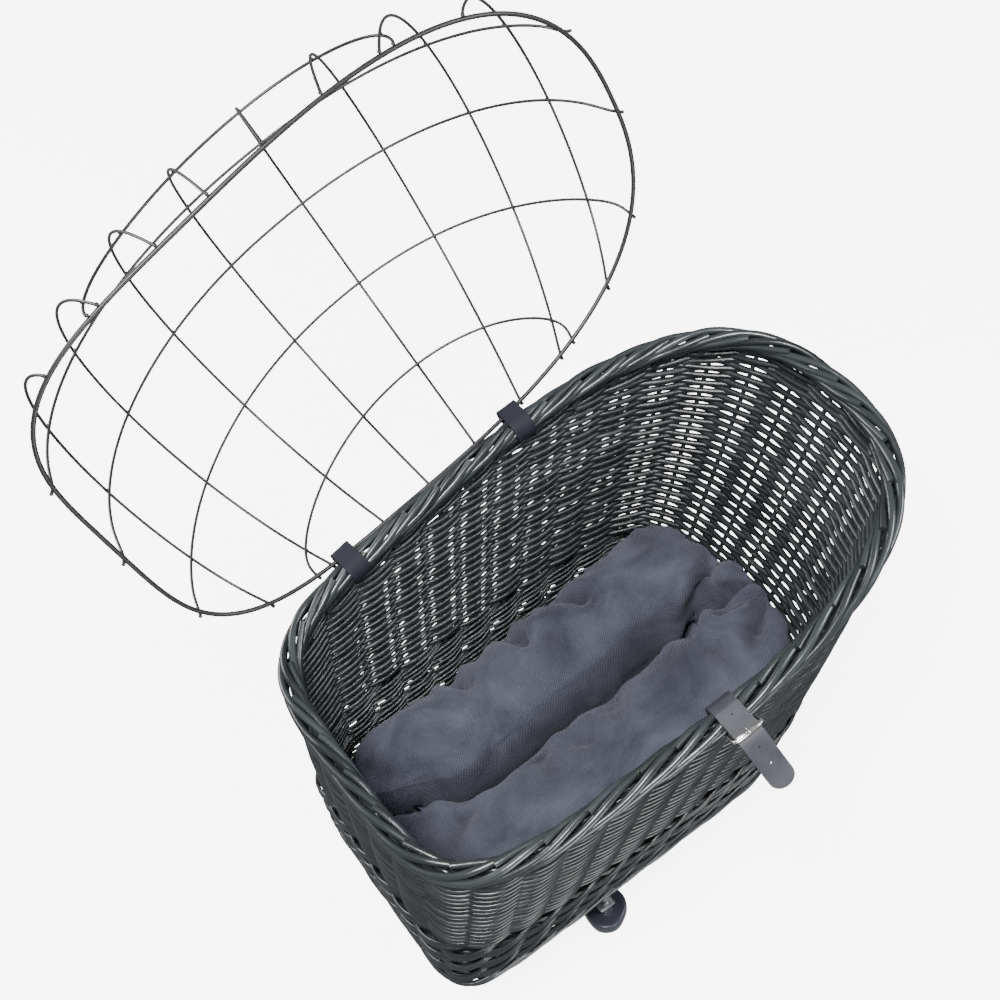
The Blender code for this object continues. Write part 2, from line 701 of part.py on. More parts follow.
def border_station(x, side):
    """The border at a place along the basket, on the hinge side (1) or the buckle side (-1):
    its centre, its outward direction and its own direction, with up to the left of both."""
    points, outward = even_loop(rim_point, 1440)
    best = min(
        (k for k in range(1440) if points[k][1] * side > 0), key=lambda k: abs(points[k][0] - x)
    )
    ends = []
    for k in (best - 8, best + 8):
        place = points[k % 1440]
        ends.append(Vector((*place, rim_height(place[0]))))
    centre = Vector((*points[best], rim_height(points[best][0])))
    return centre, Vector((*outward[best], 0.0)), (ends[0] - ends[1]).normalized()


def hinge_stations():
    """The border stations of the two hinge straps, each beside an arch's foot."""
    stations = []
    for arch, side in zip(HINGE_ARCHES, HINGE_STRAP_SIDES):
        foot = RING_LOW_X + RING_LENGTH * ARCH_FOOT_SHARES[arch]
        step = HINGE_STRAP_WIDTH / 2 + LID_WIRE_RADIUS + HINGE_ARCH_GAP
        stations.append(border_station(foot + side * step, 1))
    return stations


def hinge_axis():
    """The lid's hinge: a point midway between the two leather eyes, and the line's direction."""
    eyes = []
    for (centre, out, _), shift in zip(hinge_stations(), HINGE_SHIFTS):
        eyes.append(centre + out * (RING_OUT + shift) + Vector((0.0, 0.0, RING_UP - HINGE_DROP)))
    return (eyes[0] + eyes[1]) / 2, (eyes[1] - eyes[0]).normalized()


def make_lid():
    """The wire dome, set out closed and turned open about its hinge."""
    middle, axis = hinge_axis()
    turn = Matrix.Translation(middle) @ Matrix.Rotation(-LID_OPEN_ANGLE, 4, axis)
    turn = turn @ Matrix.Translation(-middle)
    ring = [turn @ point for point in ring_points(RING_STATIONS)]
    wires = [
        wire_object("lid_ring", ring, RING_WIRE_RADIUS, LID_PAINT, cyclic=True, resolution=2)
    ]
    for k in range(len(ARCH_FOOT_SHARES)):
        points = [turn @ point for point in arch_points(k)]
        wires.append(wire_object(f"lid_arch_{k + 1}", points, LID_WIRE_RADIUS, LID_PAINT))
    for k, wire_share in enumerate(LONG_WIRE_SHARES):
        points = [turn @ point for point in long_wire_points(wire_share)]
        wires.append(wire_object(f"lid_long_wire_{k + 1}", points, LID_WIRE_RADIUS, LID_PAINT))
    hang_on("lid_hinge_line", middle, wires)


# Straps

def belt_loop(circles):
    """A belt round circles, as points at even directions."""
    loop = []
    for k in range(BELT_POINTS):
        angle = 2 * math.pi * k / BELT_POINTS
        way = np.array((math.cos(angle), math.sin(angle)))
        centre, radius = max(circles, key=lambda c: np.dot(c[0], way) + c[1])
        loop.append((centre[0] + radius * way[0], centre[1] + radius * way[1]))
    return loop


def band_mesh(name, stations, thickness, width):
    """A leather loop: for each station a place along X and the two circles that it goes round."""
    bm = bmesh.new()
    rows = []
    for share, circles in stations:
        grown = [(centre, radius + thickness) for centre, radius in circles]
        for loop in (belt_loop(grown), belt_loop(circles)):
            rows.append([bm.verts.new((share * width, y, z)) for y, z in loop])
    outer, inner = rows[0::2], rows[1::2]
    order = outer + inner[::-1]
    for first, second in zip(order, order[1:] + order[:1]):
        for i in range(BELT_POINTS):
            j = (i + 1) % BELT_POINTS
            bm.faces.new((first[i], first[j], second[j], second[i]))
    return mesh_from_bmesh(name, bm)


def make_hinge_straps():
    """Two leather loops, each round the border and the lid ring, with a rivet outside."""
    middle, axis = hinge_axis()
    names = ("hinge_strap_low", "hinge_strap_high")
    for name, station in zip(names, hinge_stations()):
        frame = station_frame(station)
        inverse = frame.inverted()
        eye, way = inverse @ middle, inverse.to_3x3() @ axis
        stations = []
        for share in (-0.5, 0.0, 0.5):
            reach = (share * HINGE_STRAP_WIDTH - eye.x) / way.x
            spot = eye + way * reach
            ring = ((spot.y, spot.z), RING_WIRE_RADIUS + HINGE_EYE_SLACK)
            stations.append((share, (((0.0, 0.0), BORDER_RADIUS + FIT_GAP), ring)))
        mesh = band_mesh(name, stations, LEATHER_THICKNESS, HINGE_STRAP_WIDTH)
        new_object(name, mesh, HINGE_LEATHER).matrix_world = frame
        loop = belt_loop([(c, r + LEATHER_THICKNESS + FIT_GAP) for c, r in stations[1][1]])
        add_rivet(f"{name}_rivet", loop, frame)


def add_rivet(name, loop, frame):
    """A rivet's head on the middle of the longest straight run below a strap's loop."""
    runs = []
    for first, second in zip(loop, loop[1:] + loop[:1]):
        if first[1] + second[1] < RING_UP:
            runs.append((math.dist(first, second), first, second))
    _, first, second = max(runs)
    middle = Vector((0.0, (first[0] + second[0]) / 2, (first[1] + second[1]) / 2))
    along = Vector((0.0, second[0] - first[0], second[1] - first[1])).normalized()
    way = Vector((0.0, along.z, -along.y))
    edge = HINGE_RIVET_HEIGHT / 2
    profile = (
        (HINGE_RIVET_RADIUS, 0.0),
        (HINGE_RIVET_RADIUS, edge),
        (HINGE_RIVET_RADIUS / 2, HINGE_RIVET_HEIGHT),
    )
    rivet = new_object(name, turned_mesh(name, profile, 12), NICKEL)
    turn = way.to_track_quat("Z", "Y").to_matrix().to_4x4()
    rivet.matrix_world = frame @ Matrix.Translation(middle) @ turn


def smooth_path(points, steps):
    """A smooth line through points in a plane."""
    line = []
    ends = [2 * np.array(points[0]) - points[1], *points, 2 * np.array(points[-1]) - points[-2]]
    ends = [np.array(point, dtype=float) for point in ends]
    for a, b, c, d in zip(ends, ends[1:], ends[2:], ends[3:]):
        for k in range(steps):
            t = k / steps
            place = b + (c - a) * t / 2 + (2 * a - 5 * b + 4 * c - d) * t ** 2 / 2
            line.append(place + (3 * b - a - 3 * c + d) * t ** 3 / 2)
    line.append(ends[-2])
    return line


def strap_path():
    """The closing strap's middle line, outward and up from the border's centre."""
    radius = BORDER_RADIUS + 2 * LEATHER_THICKNESS + 3 * FIT_GAP - LEATHER_THICKNESS / 2
    line = []
    sweep = 2 * math.pi + STRAP_START - math.pi / 2
    for k in range(13):
        angle = STRAP_START - sweep * k / 12
        line.append((radius * math.cos(angle), radius * math.sin(angle)))
    under_roller = (
        BUCKLE_FRONT_REACH,
        BUCKLE_FRONT_RISE - ROLLER_RADIUS - LEATHER_THICKNESS / 2 - BUCKLE_LIFT,
    )
    middle = ((line[-1][0] + under_roller[0]) / 2, (line[-1][1] + under_roller[1]) / 2)
    tail = [(TAIL_REACH * out, -TAIL_DROP * down) for out, down in TAIL_SHARES]
    return line[:-1] + smooth_path((line[-1], middle, under_roller, *tail), 4)


def make_closing_strap():
    """The closing strap, in its buckle, with its tail standing outward."""
    frame = station_frame(border_station(STRAP_X, -1))
    line = [np.array(point) for point in strap_path()]
    lengths = [0.0]
    for first, second in zip(line, line[1:]):
        lengths.append(lengths[-1] + float(np.linalg.norm(second - first)))
    total = lengths[-1]
    tip_stops = [total - STRAP_TIP_LENGTH * share for share in (1.0, 0.6, 0.3, 0.1, 0.0)]
    stops = [stop for stop in lengths if stop < tip_stops[0] - LEATHER_THICKNESS] + tip_stops
    table = np.array(line)
    sections = []
    for stop in stops:
        place = strap_place(stop, lengths, table)
        ahead = strap_place(min(stop + LEATHER_THICKNESS, total), lengths, table)
        behind = strap_place(max(stop - LEATHER_THICKNESS, 0.0), lengths, table)
        along = (ahead - behind) / np.linalg.norm(ahead - behind)
        normal = np.array((-along[1], along[0])) * LEATHER_THICKNESS / 2
        left = max(total - stop, 0.0) / STRAP_TIP_LENGTH
        share = math.sqrt(1 - (1 - left) ** 2) if left < 1 else 1.0
        half = (STRAP_TIP_WIDTH + (STRAP_WIDTH - STRAP_TIP_WIDTH) * share) / 2
        low, high = place - normal, place + normal
        section = [(-half, *low), (half, *low), (half, *high), (-half, *high)]
        sections.append([Vector(point) for point in section])
    strap = new_object("closing_strap", loft("closing_strap", sections), STRAP_LEATHER)
    strap.matrix_world = frame
    for k, share in enumerate(STRAP_HOLE_SHARES):
        boolean(strap, strap_hole(f"strap_hole_{k + 1}", share * total, lengths, table, frame))
    heel = Vector((0.0, BUCKLE_HEEL_REACH, BUCKLE_HEEL_RISE))
    front = Vector((0.0, BUCKLE_FRONT_REACH, BUCKLE_FRONT_RISE))
    slot = rounded_rectangle(PRONG_RADIUS + FIT_GAP, PRONG_SLOT_LENGTH / 2, PRONG_RADIUS)
    rings = [[Vector((x, y, z)) for x, y in slot] for z in (-CUT_OVERRUN, CUT_OVERRUN)]
    place = Matrix.Translation(prong_crossing(heel, front))
    boolean(strap, cutter("prong_slot", loft("prong_slot", rings), frame @ place))
    make_buckle(frame, heel, front)


def strap_place(stop, lengths, table):
    """A point of the strap's middle line at a distance from its fixed end."""
    return np.array([np.interp(stop, lengths, table[:, k]) for k in (0, 1)])


def strap_hole(name, stop, lengths, table, frame):
    """A cutter through the strap at a distance from its fixed end."""
    place = strap_place(stop, lengths, table)
    ahead = strap_place(stop + LEATHER_THICKNESS, lengths, table)
    way = ahead - place
    profile = ((STRAP_HOLE_RADIUS, -CUT_OVERRUN), (STRAP_HOLE_RADIUS, CUT_OVERRUN))
    turn = Vector((0.0, -way[1], way[0])).to_track_quat("Z", "Y").to_matrix().to_4x4()
    spot = frame @ Matrix.Translation(Vector((0.0, *place))) @ turn
    return cutter(name, turned_mesh(name, profile, 12), spot)


PRONG_EYE = BUCKLE_WIRE_RADIUS + PRONG_RADIUS + FIT_GAP
PRONG_REST = ROLLER_RADIUS + PRONG_RADIUS + FIT_GAP


def prong_tangent(heel, front):
    """The direction square to the prong's straight run, which touches both its circles."""
    reach = front - heel
    lead = math.asin((PRONG_EYE - PRONG_REST) / reach.length)
    base = math.atan2(reach.z, reach.y) + math.pi / 2 - lead
    return base, Vector((0.0, math.cos(base), math.sin(base)))


def prong_crossing(heel, front):
    """Where the prong's straight run passes through the strap's middle line."""
    _, way = prong_tangent(heel, front)
    first, second = heel + way * PRONG_EYE, front + way * PRONG_REST
    line = strap_path()
    for low, high in zip(line, line[1:]):
        if low[1] < 0 or high[0] < low[0]:
            continue
        run = second - first
        edge = Vector((0.0, high[0] - low[0], high[1] - low[1]))
        offset = Vector((0.0, low[0], low[1])) - first
        base = run.y * edge.z - run.z * edge.y
        place = (offset.y * edge.z - offset.z * edge.y) / base
        share = (offset.y * run.z - offset.z * run.y) / base
        if 0 <= share <= 1 and 0 <= place <= 1:
            return first + run * place
    return (first + second) / 2


def make_buckle(frame, heel, front):
    """The buckle: its leather tab, wire frame, roller and prong."""
    heel_circle = ((heel.y, heel.z), BUCKLE_WIRE_RADIUS + FIT_GAP)
    circles = (((0.0, 0.0), BORDER_RADIUS + FIT_GAP), heel_circle)
    stations = [(share, circles) for share in (-0.5, 0.0, 0.5)]
    tab = new_object(
        "buckle_tab", band_mesh("buckle_tab", stations, LEATHER_THICKNESS, STRAP_WIDTH),
        STRAP_LEATHER,
    )
    tab.matrix_world = frame
    size = (2 * PRONG_RADIUS + 4 * FIT_GAP, 2 * TAB_SLOT_DEPTH, 2 * TAB_SLOT_DEPTH)
    boolean(tab, cutter("tab_slot", box_mesh("tab_slot", size, heel), frame))

    reach = front - heel
    half = STRAP_WIDTH / 2 + BUCKLE_SIDE_GAP + BUCKLE_WIRE_RADIUS
    way, middle = reach.normalized(), (heel + front) / 2
    outline = rounded_rectangle(half, reach.length / 2, BUCKLE_CORNER_RADIUS)
    points = [frame @ (middle + Vector((x, 0.0, 0.0)) + way * y) for x, y in outline]
    ring = wire_object(
        "buckle_frame", points, BUCKLE_WIRE_RADIUS, NICKEL, cyclic=True, resolution=2
    )

    half_roller = half - BUCKLE_CORNER_RADIUS - FIT_GAP
    rings = []
    for radius in (ROLLER_RADIUS, ROLLER_BORE):
        pair = []
        for x in (-half_roller, half_roller):
            loop = circle_loop(radius, count=16)
            pair.append([frame @ (front + Vector((x, y, z))) for y, z in loop])
        rings += pair if radius == ROLLER_RADIUS else pair[::-1]
    mesh = loft("buckle_roller", rings, close_along=True)
    roller = new_object("buckle_roller", mesh, NICKEL)

    base, _ = prong_tangent(heel, front)
    line = []
    for k in range(9):
        angle = base + math.radians(290) * (1 - k / 8)
        line.append(heel + Vector((0.0, math.cos(angle), math.sin(angle))) * PRONG_EYE)
    for k in range(6):
        angle = base + (PRONG_TIP_ANGLE - base) * k / 5
        line.append(front + Vector((0.0, math.cos(angle), math.sin(angle))) * PRONG_REST)
    prong = wire_object(
        "buckle_prong", [frame @ point for point in line], PRONG_RADIUS, NICKEL
    )
    hang_on("buckle_heel_line", frame @ heel, (ring, roller, prong))


# Cushion

def inner_plan(share):
    """The wall's inner face in plan at a height share, from low end to high end on one side."""
    count = 240
    foot, foot_out = even_loop(base_point, count, inset=FOOT_INSET)
    rim, rim_out = even_loop(rim_point, count)
    plan = foot * (1 - share) + rim * share
    out = foot_out * (1 - share) + rim_out * share
    out /= np.linalg.norm(out, axis=1)[:, None]
    plan = plan - out * (WALL_THICKNESS / 2 + WEAVE_RELIEF + CUSHION_GAP)
    side = plan[plan[:, 1] > 0]
    return side[np.argsort(side[:, 0])]


INNER_PLANS = [inner_plan(k / 20) for k in range(21)]


def room(x, z):
    """The room for the cushion to either side of the middle, at a place and height."""
    low = FOOT_TOP + FIT_GAP
    span = rim_height(x) - BORDER_RADIUS - FIT_GAP - low
    place = min(max((z - low) / span, 0.0), 0.999) * 20
    k = int(place)
    widths = []
    for plan in INNER_PLANS[k:k + 2]:
        widths.append(float(np.interp(x, plan[:, 0], plan[:, 1], left=0.0, right=0.0)))
    return widths[0] + (widths[1] - widths[0]) * (place - k)


def cushion_section(share):
    """One closed section across the cushion at a share of its length."""
    low_x = RIM_STATION_X - RIM_LOW_REACH + CUSHION_LOW_SETBACK
    high_x = RIM_STATION_X + RIM_HIGH_REACH - CUSHION_HIGH_SETBACK
    x = low_x + (high_x - low_x) * share
    top = CUSHION_TOP_LOW + (CUSHION_TOP_HIGH - CUSHION_TOP_LOW) * share ** CUSHION_RISE_POWER
    bottom = CUSHION_SEAT
    while room(x, bottom) < CUSHION_BASE_SHARE * room(x, top) and bottom < top:
        bottom += FIT_GAP
    round_off = math.sqrt(max(1 - abs(2 * share - 1) ** CUSHION_END_POWER, 0.0))
    middle = (top + bottom) / 2
    section = []
    for along, rise, fold in CUSHION_PROFILE_SHARES:
        z = bottom + (top - bottom) * rise
        z = middle + (z - middle) * max(round_off, CUSHION_END_SHARE)
        z -= fold * (top - bottom) * CUSHION_VALLEY_SHARE * round_off
        width = room(x, z) * max(round_off, CUSHION_END_SHARE)
        section.append(Vector((x, along * width, z)))
    return section


def make_cushion():
    """The cushion: one long pillow folded into two lobes, climbing the high end."""
    sections = []
    for k in range(CUSHION_STATIONS + 1):
        turn = 0.5 - 0.5 * math.cos(math.pi * k / CUSHION_STATIONS)
        sections.append(cushion_section(turn))
    cushion = new_object("cushion", loft("cushion", sections), VELOUR)
    modifier = cushion.modifiers.new("softness", "SUBSURF")
    modifier.levels = 1
    modifier.render_levels = 1


# Rack clamp

def bar_loops(bolt_end):
    """A flat bar's outline with its two bolt holes."""
    loops = [rounded_rectangle(BAR_WIDTH / 2, BOLT_OFFSET + bolt_end, BAR_CORNER_RADIUS)]
    for side in (-1, 1):
        loops.append(circle_loop(BOLT_RADIUS + FIT_GAP, (0.0, side * BOLT_OFFSET), 16))
    return loops


def knob_section(angle):
    """One half section through a knob, from its bore outward and back."""
    lobe = 0.5 - 0.5 * math.cos(KNOB_LOBES * angle)
    edge = KNOB_RADIUS * (1 - KNOB_LOBE_SHARE * lobe ** 2)
    bore = BOLT_RADIUS + FIT_GAP
    disc_low = -KNOB_COLLAR - KNOB_DISC
    web_top = -KNOB_COLLAR - KNOB_DISH
    outline = (
        (bore, 0.0),
        (KNOB_HUB_RADIUS, 0.0),
        (KNOB_HUB_RADIUS, web_top),
        (edge - 2 * KNOB_RIM, web_top),
        (edge - KNOB_RIM, -KNOB_COLLAR),
        (edge - KNOB_RIM / 4, -KNOB_COLLAR),
        (edge, -KNOB_COLLAR - KNOB_RIM / 2),
        (edge, disc_low),
        (edge - KNOB_RIM / 2, disc_low),
        (edge - KNOB_RIM, web_top - KNOB_WEB),
        (KNOB_HUB_RADIUS, web_top - KNOB_WEB),
        (KNOB_HUB_RADIUS, disc_low),
        (bore, disc_low),
    )
    way = Vector((math.cos(angle), math.sin(angle), 0.0))
    return [way * radius + Vector((0.0, 0.0, height)) for radius, height in outline]


def make_rack_clamp():
    """The plate in the basket, the rack bar, and the clamp bar that two knobs draw up."""
    pad_size = (BAR_WIDTH, 2 * (BOLT_OFFSET - PAD_END_GAP), PAD_THICKNESS)
    pad = box_mesh("rack_pad", pad_size, (0.0, 0.0, PAD_THICKNESS / 2))
    new_object("rack_pad", pad, RUBBER)
    outline_object(
        "rack_bar", bar_loops(RACK_BAR_END), BAR_THICKNESS,
        (0.0, 0.0, BAR_BASE + BAR_THICKNESS / 2), ZINC,
    )
    outline_object(
        "floor_plate", bar_loops(RACK_BAR_END), PLATE_THICKNESS,
        (0.0, 0.0, PLATE_BASE + PLATE_THICKNESS / 2), ZINC,
    )
    clamp_middle = -CLAMP_DROP - BAR_THICKNESS / 2
    outline_object(
        "clamp_bar", bar_loops(CLAMP_BAR_END), BAR_THICKNESS, (0.0, 0.0, clamp_middle), ZINC
    )
    bolt_profile = (
        (BOLT_RADIUS - BOLT_CHAMFER, -BOLT_REACH),
        (BOLT_RADIUS, -BOLT_REACH + BOLT_CHAMFER),
        (BOLT_RADIUS, HEAD_SEAT),
        (BOLT_HEAD_RADIUS, HEAD_SEAT),
        (BOLT_HEAD_RADIUS, HEAD_SEAT + BOLT_HEAD_HEIGHT / 3),
        (BOLT_HEAD_RADIUS / 2, HEAD_SEAT + BOLT_HEAD_HEIGHT),
    )
    nut_circle = NUT_FLATS / 2 / math.cos(math.pi / 6)
    for side in (-1, 1):
        place = Matrix.Translation((0.0, side * BOLT_OFFSET, 0.0))
        name = side_name(side)
        mesh = turned_mesh(f"rack_bolt_{name}", bolt_profile, 20)
        new_object(f"rack_bolt_{name}", mesh, ZINC).matrix_world = place
        outline_object(
            f"rack_nut_{name}",
            [circle_loop(nut_circle, count=6), circle_loop(BOLT_RADIUS + FIT_GAP, count=16)],
            NUT_HEIGHT, (0.0, side * BOLT_OFFSET, BAR_BASE - FIT_GAP - NUT_HEIGHT / 2), ZINC,
        )
        sections = []
        for k in range(KNOB_STATIONS):
            sections.append(knob_section(2 * math.pi * k / KNOB_STATIONS))
        mesh = loft(f"hand_knob_{name}", sections, close_along=True)
        knob = new_object(f"hand_knob_{name}", mesh, KNOB_PLASTIC)
        drop = -CLAMP_DROP - BAR_THICKNESS - FIT_GAP
        knob.matrix_world = place @ Matrix.Translation((0.0, 0.0, drop))


def side_name(side):
    """The name of a side: the buckle side is at -Y."""
    return "buckle_side" if side < 0 else "hinge_side"


make_rim_border()
make_foot_border()
make_wall()
make_floor()
make_floor_sticks()
make_lid()
make_hinge_straps()
make_closing_strap()
make_cushion()
make_rack_clamp()
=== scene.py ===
"""Looks for the dog bicycle basket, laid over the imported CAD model."""

import math

import bmesh
import bpy
import numpy as np
from mathutils import Matrix, Vector


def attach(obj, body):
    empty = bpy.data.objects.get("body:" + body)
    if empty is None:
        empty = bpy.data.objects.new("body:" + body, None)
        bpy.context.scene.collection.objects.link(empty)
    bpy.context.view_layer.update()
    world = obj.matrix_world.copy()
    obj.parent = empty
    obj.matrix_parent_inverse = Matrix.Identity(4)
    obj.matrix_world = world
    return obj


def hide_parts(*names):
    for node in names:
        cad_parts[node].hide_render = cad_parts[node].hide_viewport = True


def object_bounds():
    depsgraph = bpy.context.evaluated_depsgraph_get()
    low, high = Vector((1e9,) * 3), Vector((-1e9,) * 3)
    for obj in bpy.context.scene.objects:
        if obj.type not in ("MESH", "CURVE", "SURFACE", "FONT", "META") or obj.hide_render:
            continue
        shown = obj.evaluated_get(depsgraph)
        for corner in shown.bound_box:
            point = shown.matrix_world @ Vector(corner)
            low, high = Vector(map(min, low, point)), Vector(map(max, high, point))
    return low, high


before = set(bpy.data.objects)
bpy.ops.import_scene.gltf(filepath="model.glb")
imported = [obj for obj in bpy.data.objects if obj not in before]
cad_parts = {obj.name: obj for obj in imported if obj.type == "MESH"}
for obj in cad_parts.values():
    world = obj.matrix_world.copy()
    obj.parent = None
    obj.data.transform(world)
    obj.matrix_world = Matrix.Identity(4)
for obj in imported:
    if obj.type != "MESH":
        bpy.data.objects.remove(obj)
cad_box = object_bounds()
rng = np.random.default_rng(7)


# Sizes that the CAD model has too

FIT_GAP = 0.0003
STAKE_COUNT = 36
RIM_STATION_X = 0.042
RIM_LOW_REACH = 0.218
RIM_HIGH_REACH = 0.3643
RIM_HALF_WIDTH = 0.1839
RIM_FLARE_SHARE = 0.122
RIM_LOW_POWER = 4.34
RIM_HIGH_POWER = 2.58
RIM_LOW_HEIGHT = 0.2783
RIM_HIGH_HEIGHT = 0.3683
RIM_RISE_POWER = 1.03
BASE_CENTRE_X = 0.0195
BASE_HALF_LENGTH = 0.2112
BASE_HALF_WIDTH = 0.1395
BASE_POWER = 8.0
BORDER_RADIUS = 0.0118
FOOT_RADIUS = 0.0088
FOOT_INSET = 0.57 * FOOT_RADIUS
FOOT_TOP = 2 * FOOT_RADIUS
WALL_BELLY = 0.004
FLOOR_LOW = 0.0110
FLOOR_THICKNESS = 0.009

RING_WIRE_RADIUS = 0.0023
LID_WIRE_RADIUS = 0.0015
RING_CLEARANCE = 0.0036
RING_SEAT_ANGLE = math.radians(23)
LID_LOW_REACH = 0.2256
LID_HIGH_REACH = 0.3517
LID_HIGH_LIFT = 0.0080
LID_OPEN_ANGLE = math.radians(101.9)
DOME_HEIGHT = 0.2474
DOME_LOW_POWER = 1.988
DOME_HIGH_POWER = 2.155
DOME_SECTION_POWER = 1.975
LONG_WIRE_OFFSET = 0.1779
LONG_WIRE_SHARES = (0.991, 0.624, 0.098, -0.432, -1.0)
LONG_WIRE_SPREAD_SHARE = 0.12
WIRE_END_OVERHANG = 0.0015
WELD_FADE = 0.007
END_TURN = 0.02
ARCH_FOOT_SHARES = (0.1066, 0.2176, 0.3242, 0.419, 0.5181, 0.6209, 0.7186, 0.8462)
ARCH_CROWN_SHARES = (0.0435, 0.1449, 0.2865, 0.4343, 0.5931, 0.7504, 0.8842, 0.9694)
LEATHER = 0.0022
HINGE_STRAP_WIDTH = 0.022
HINGE_ARCHES = (1, 5)
HINGE_STRAP_SIDES = (1, -1)
HINGE_ARCH_GAP = 0.0035
HINGE_EYE_SLACK = 0.0066
HINGE_SHIFTS = (-0.0030, -0.0008)
HINGE_DROP = 0.005
STRAP_X = 0.114
STRAP_WIDTH = 0.025
STRAP_START = math.radians(-62)
TAIL_POINTS = ((0.0400, 0.0080), (0.0520, -0.0010), (0.0640, -0.0090), (0.0760, -0.0150))
BUCKLE_HEEL = (0.0180, 0.0080)
BUCKLE_FRONT = (0.0295, 0.0178)
BUCKLE_WIRE_RADIUS = 0.0016
BUCKLE_LIFT = 0.001
ROLLER_RADIUS = 0.0025


# Small tools

def running_length(points):
    """How far along a line each of its points is."""
    steps = np.linalg.norm(np.diff(points, axis=0), axis=1)
    return np.concatenate(([0.0], np.cumsum(steps)))


def positive_side(points):
    """The points on the +Y side, in the order of X."""
    side = points[points[:, 1] > 0]
    return side[np.argsort(side[:, 0])]


def assign(target, **values):
    for key, value in values.items():
        setattr(target, key, value)


def link_object(name, data):
    obj = bpy.data.objects.new(name, data)
    bpy.context.scene.collection.objects.link(obj)
    return obj


def finish_mesh(name, verts, faces, material, uvs=None):
    """A smooth mesh object from arrays. uvs has one pair for each vertex."""
    mesh = bpy.data.meshes.new(name)
    mesh.from_pydata([tuple(v) for v in verts], [], [tuple(f) for f in faces])
    if uvs is not None:
        layer = mesh.uv_layers.new(name="UVMap")
        loops = np.zeros(len(mesh.loops), np.int32)
        mesh.loops.foreach_get("vertex_index", loops)
        layer.data.foreach_set("uv", np.asarray(uvs, np.float32)[loops].ravel())
    mesh.materials.append(material)
    mesh.shade_smooth()
    mesh.set_sharp_from_angle(angle=math.radians(50))
    return link_object(name, mesh)


def bmesh_object(name, bm, material, smooth=True):
    mesh = bpy.data.meshes.new(name)
    bm.to_mesh(mesh)
    bm.free()
    mesh.materials.append(material)
    if smooth:
        mesh.shade_smooth()
    return link_object(name, mesh)


def modify(obj, kind, **values):
    made = obj.modifiers.new(kind.lower(), kind)
    assign(made, **values)
    return made


def round_edges(obj, width, segments, angle):
    modify(
        obj, "BEVEL", width=width, segments=segments, limit_method="ANGLE",
        angle_limit=math.radians(angle), harden_normals=True,
    )


def dress(obj, body, node=None):
    """Put a piece on its body, in place of the CAD node that it stands for."""
    if node:
        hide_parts(node)
    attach(obj, body)


class Strands:
    """Many round rods in one mesh, with lengths and places round each rod as UVs."""

    def __init__(self):
        self.verts, self.faces, self.uvs = [], [], []
        self.count = 0
        self.rods = 0

    def add(self, points, radii, up, sides=8, closed=False):
        points = np.asarray(points, float)
        n = len(points)
        radii = np.broadcast_to(np.asarray(radii, float), (n,))
        if closed:
            along = np.roll(points, -1, 0) - np.roll(points, 1, 0)
        else:
            along = np.gradient(points, axis=0)
        along /= np.linalg.norm(along, axis=1)[:, None]
        up = np.broadcast_to(np.asarray(up, float), (n, 3))
        first = up - (up * along).sum(1)[:, None] * along
        first /= np.linalg.norm(first, axis=1)[:, None]
        second = np.cross(along, first)
        turn = 2 * np.pi * np.arange(sides) / sides
        ring = np.cos(turn)[None, :, None] * first[:, None]
        ring = ring + np.sin(turn)[None, :, None] * second[:, None]
        verts = points[:, None] + ring * radii[:, None, None]
        run = running_length(points) + 3.1 * self.rods
        self.verts.append(verts.reshape(-1, 3))
        around = np.arange(sides) / sides * 0.9 + 0.05
        uv = np.stack(np.broadcast_arrays(run[:, None], self.rods + around[None, :]), -1)
        self.uvs.append(uv.reshape(-1, 2))
        here = self.count + np.arange(n * sides).reshape(n, sides)
        after = np.roll(here, -1, 0)
        faces = np.stack((here, after, np.roll(after, -1, 1), np.roll(here, -1, 1)), -1)
        self.faces += faces[:n if closed else n - 1].reshape(-1, 4).tolist()
        if not closed:
            self.faces += [here[0].tolist(), here[-1][::-1].tolist()]
        self.count += n * sides
        self.rods += 1

    def build(self, name, material):
        return finish_mesh(
            name, np.concatenate(self.verts), self.faces, material, np.concatenate(self.uvs)
        )


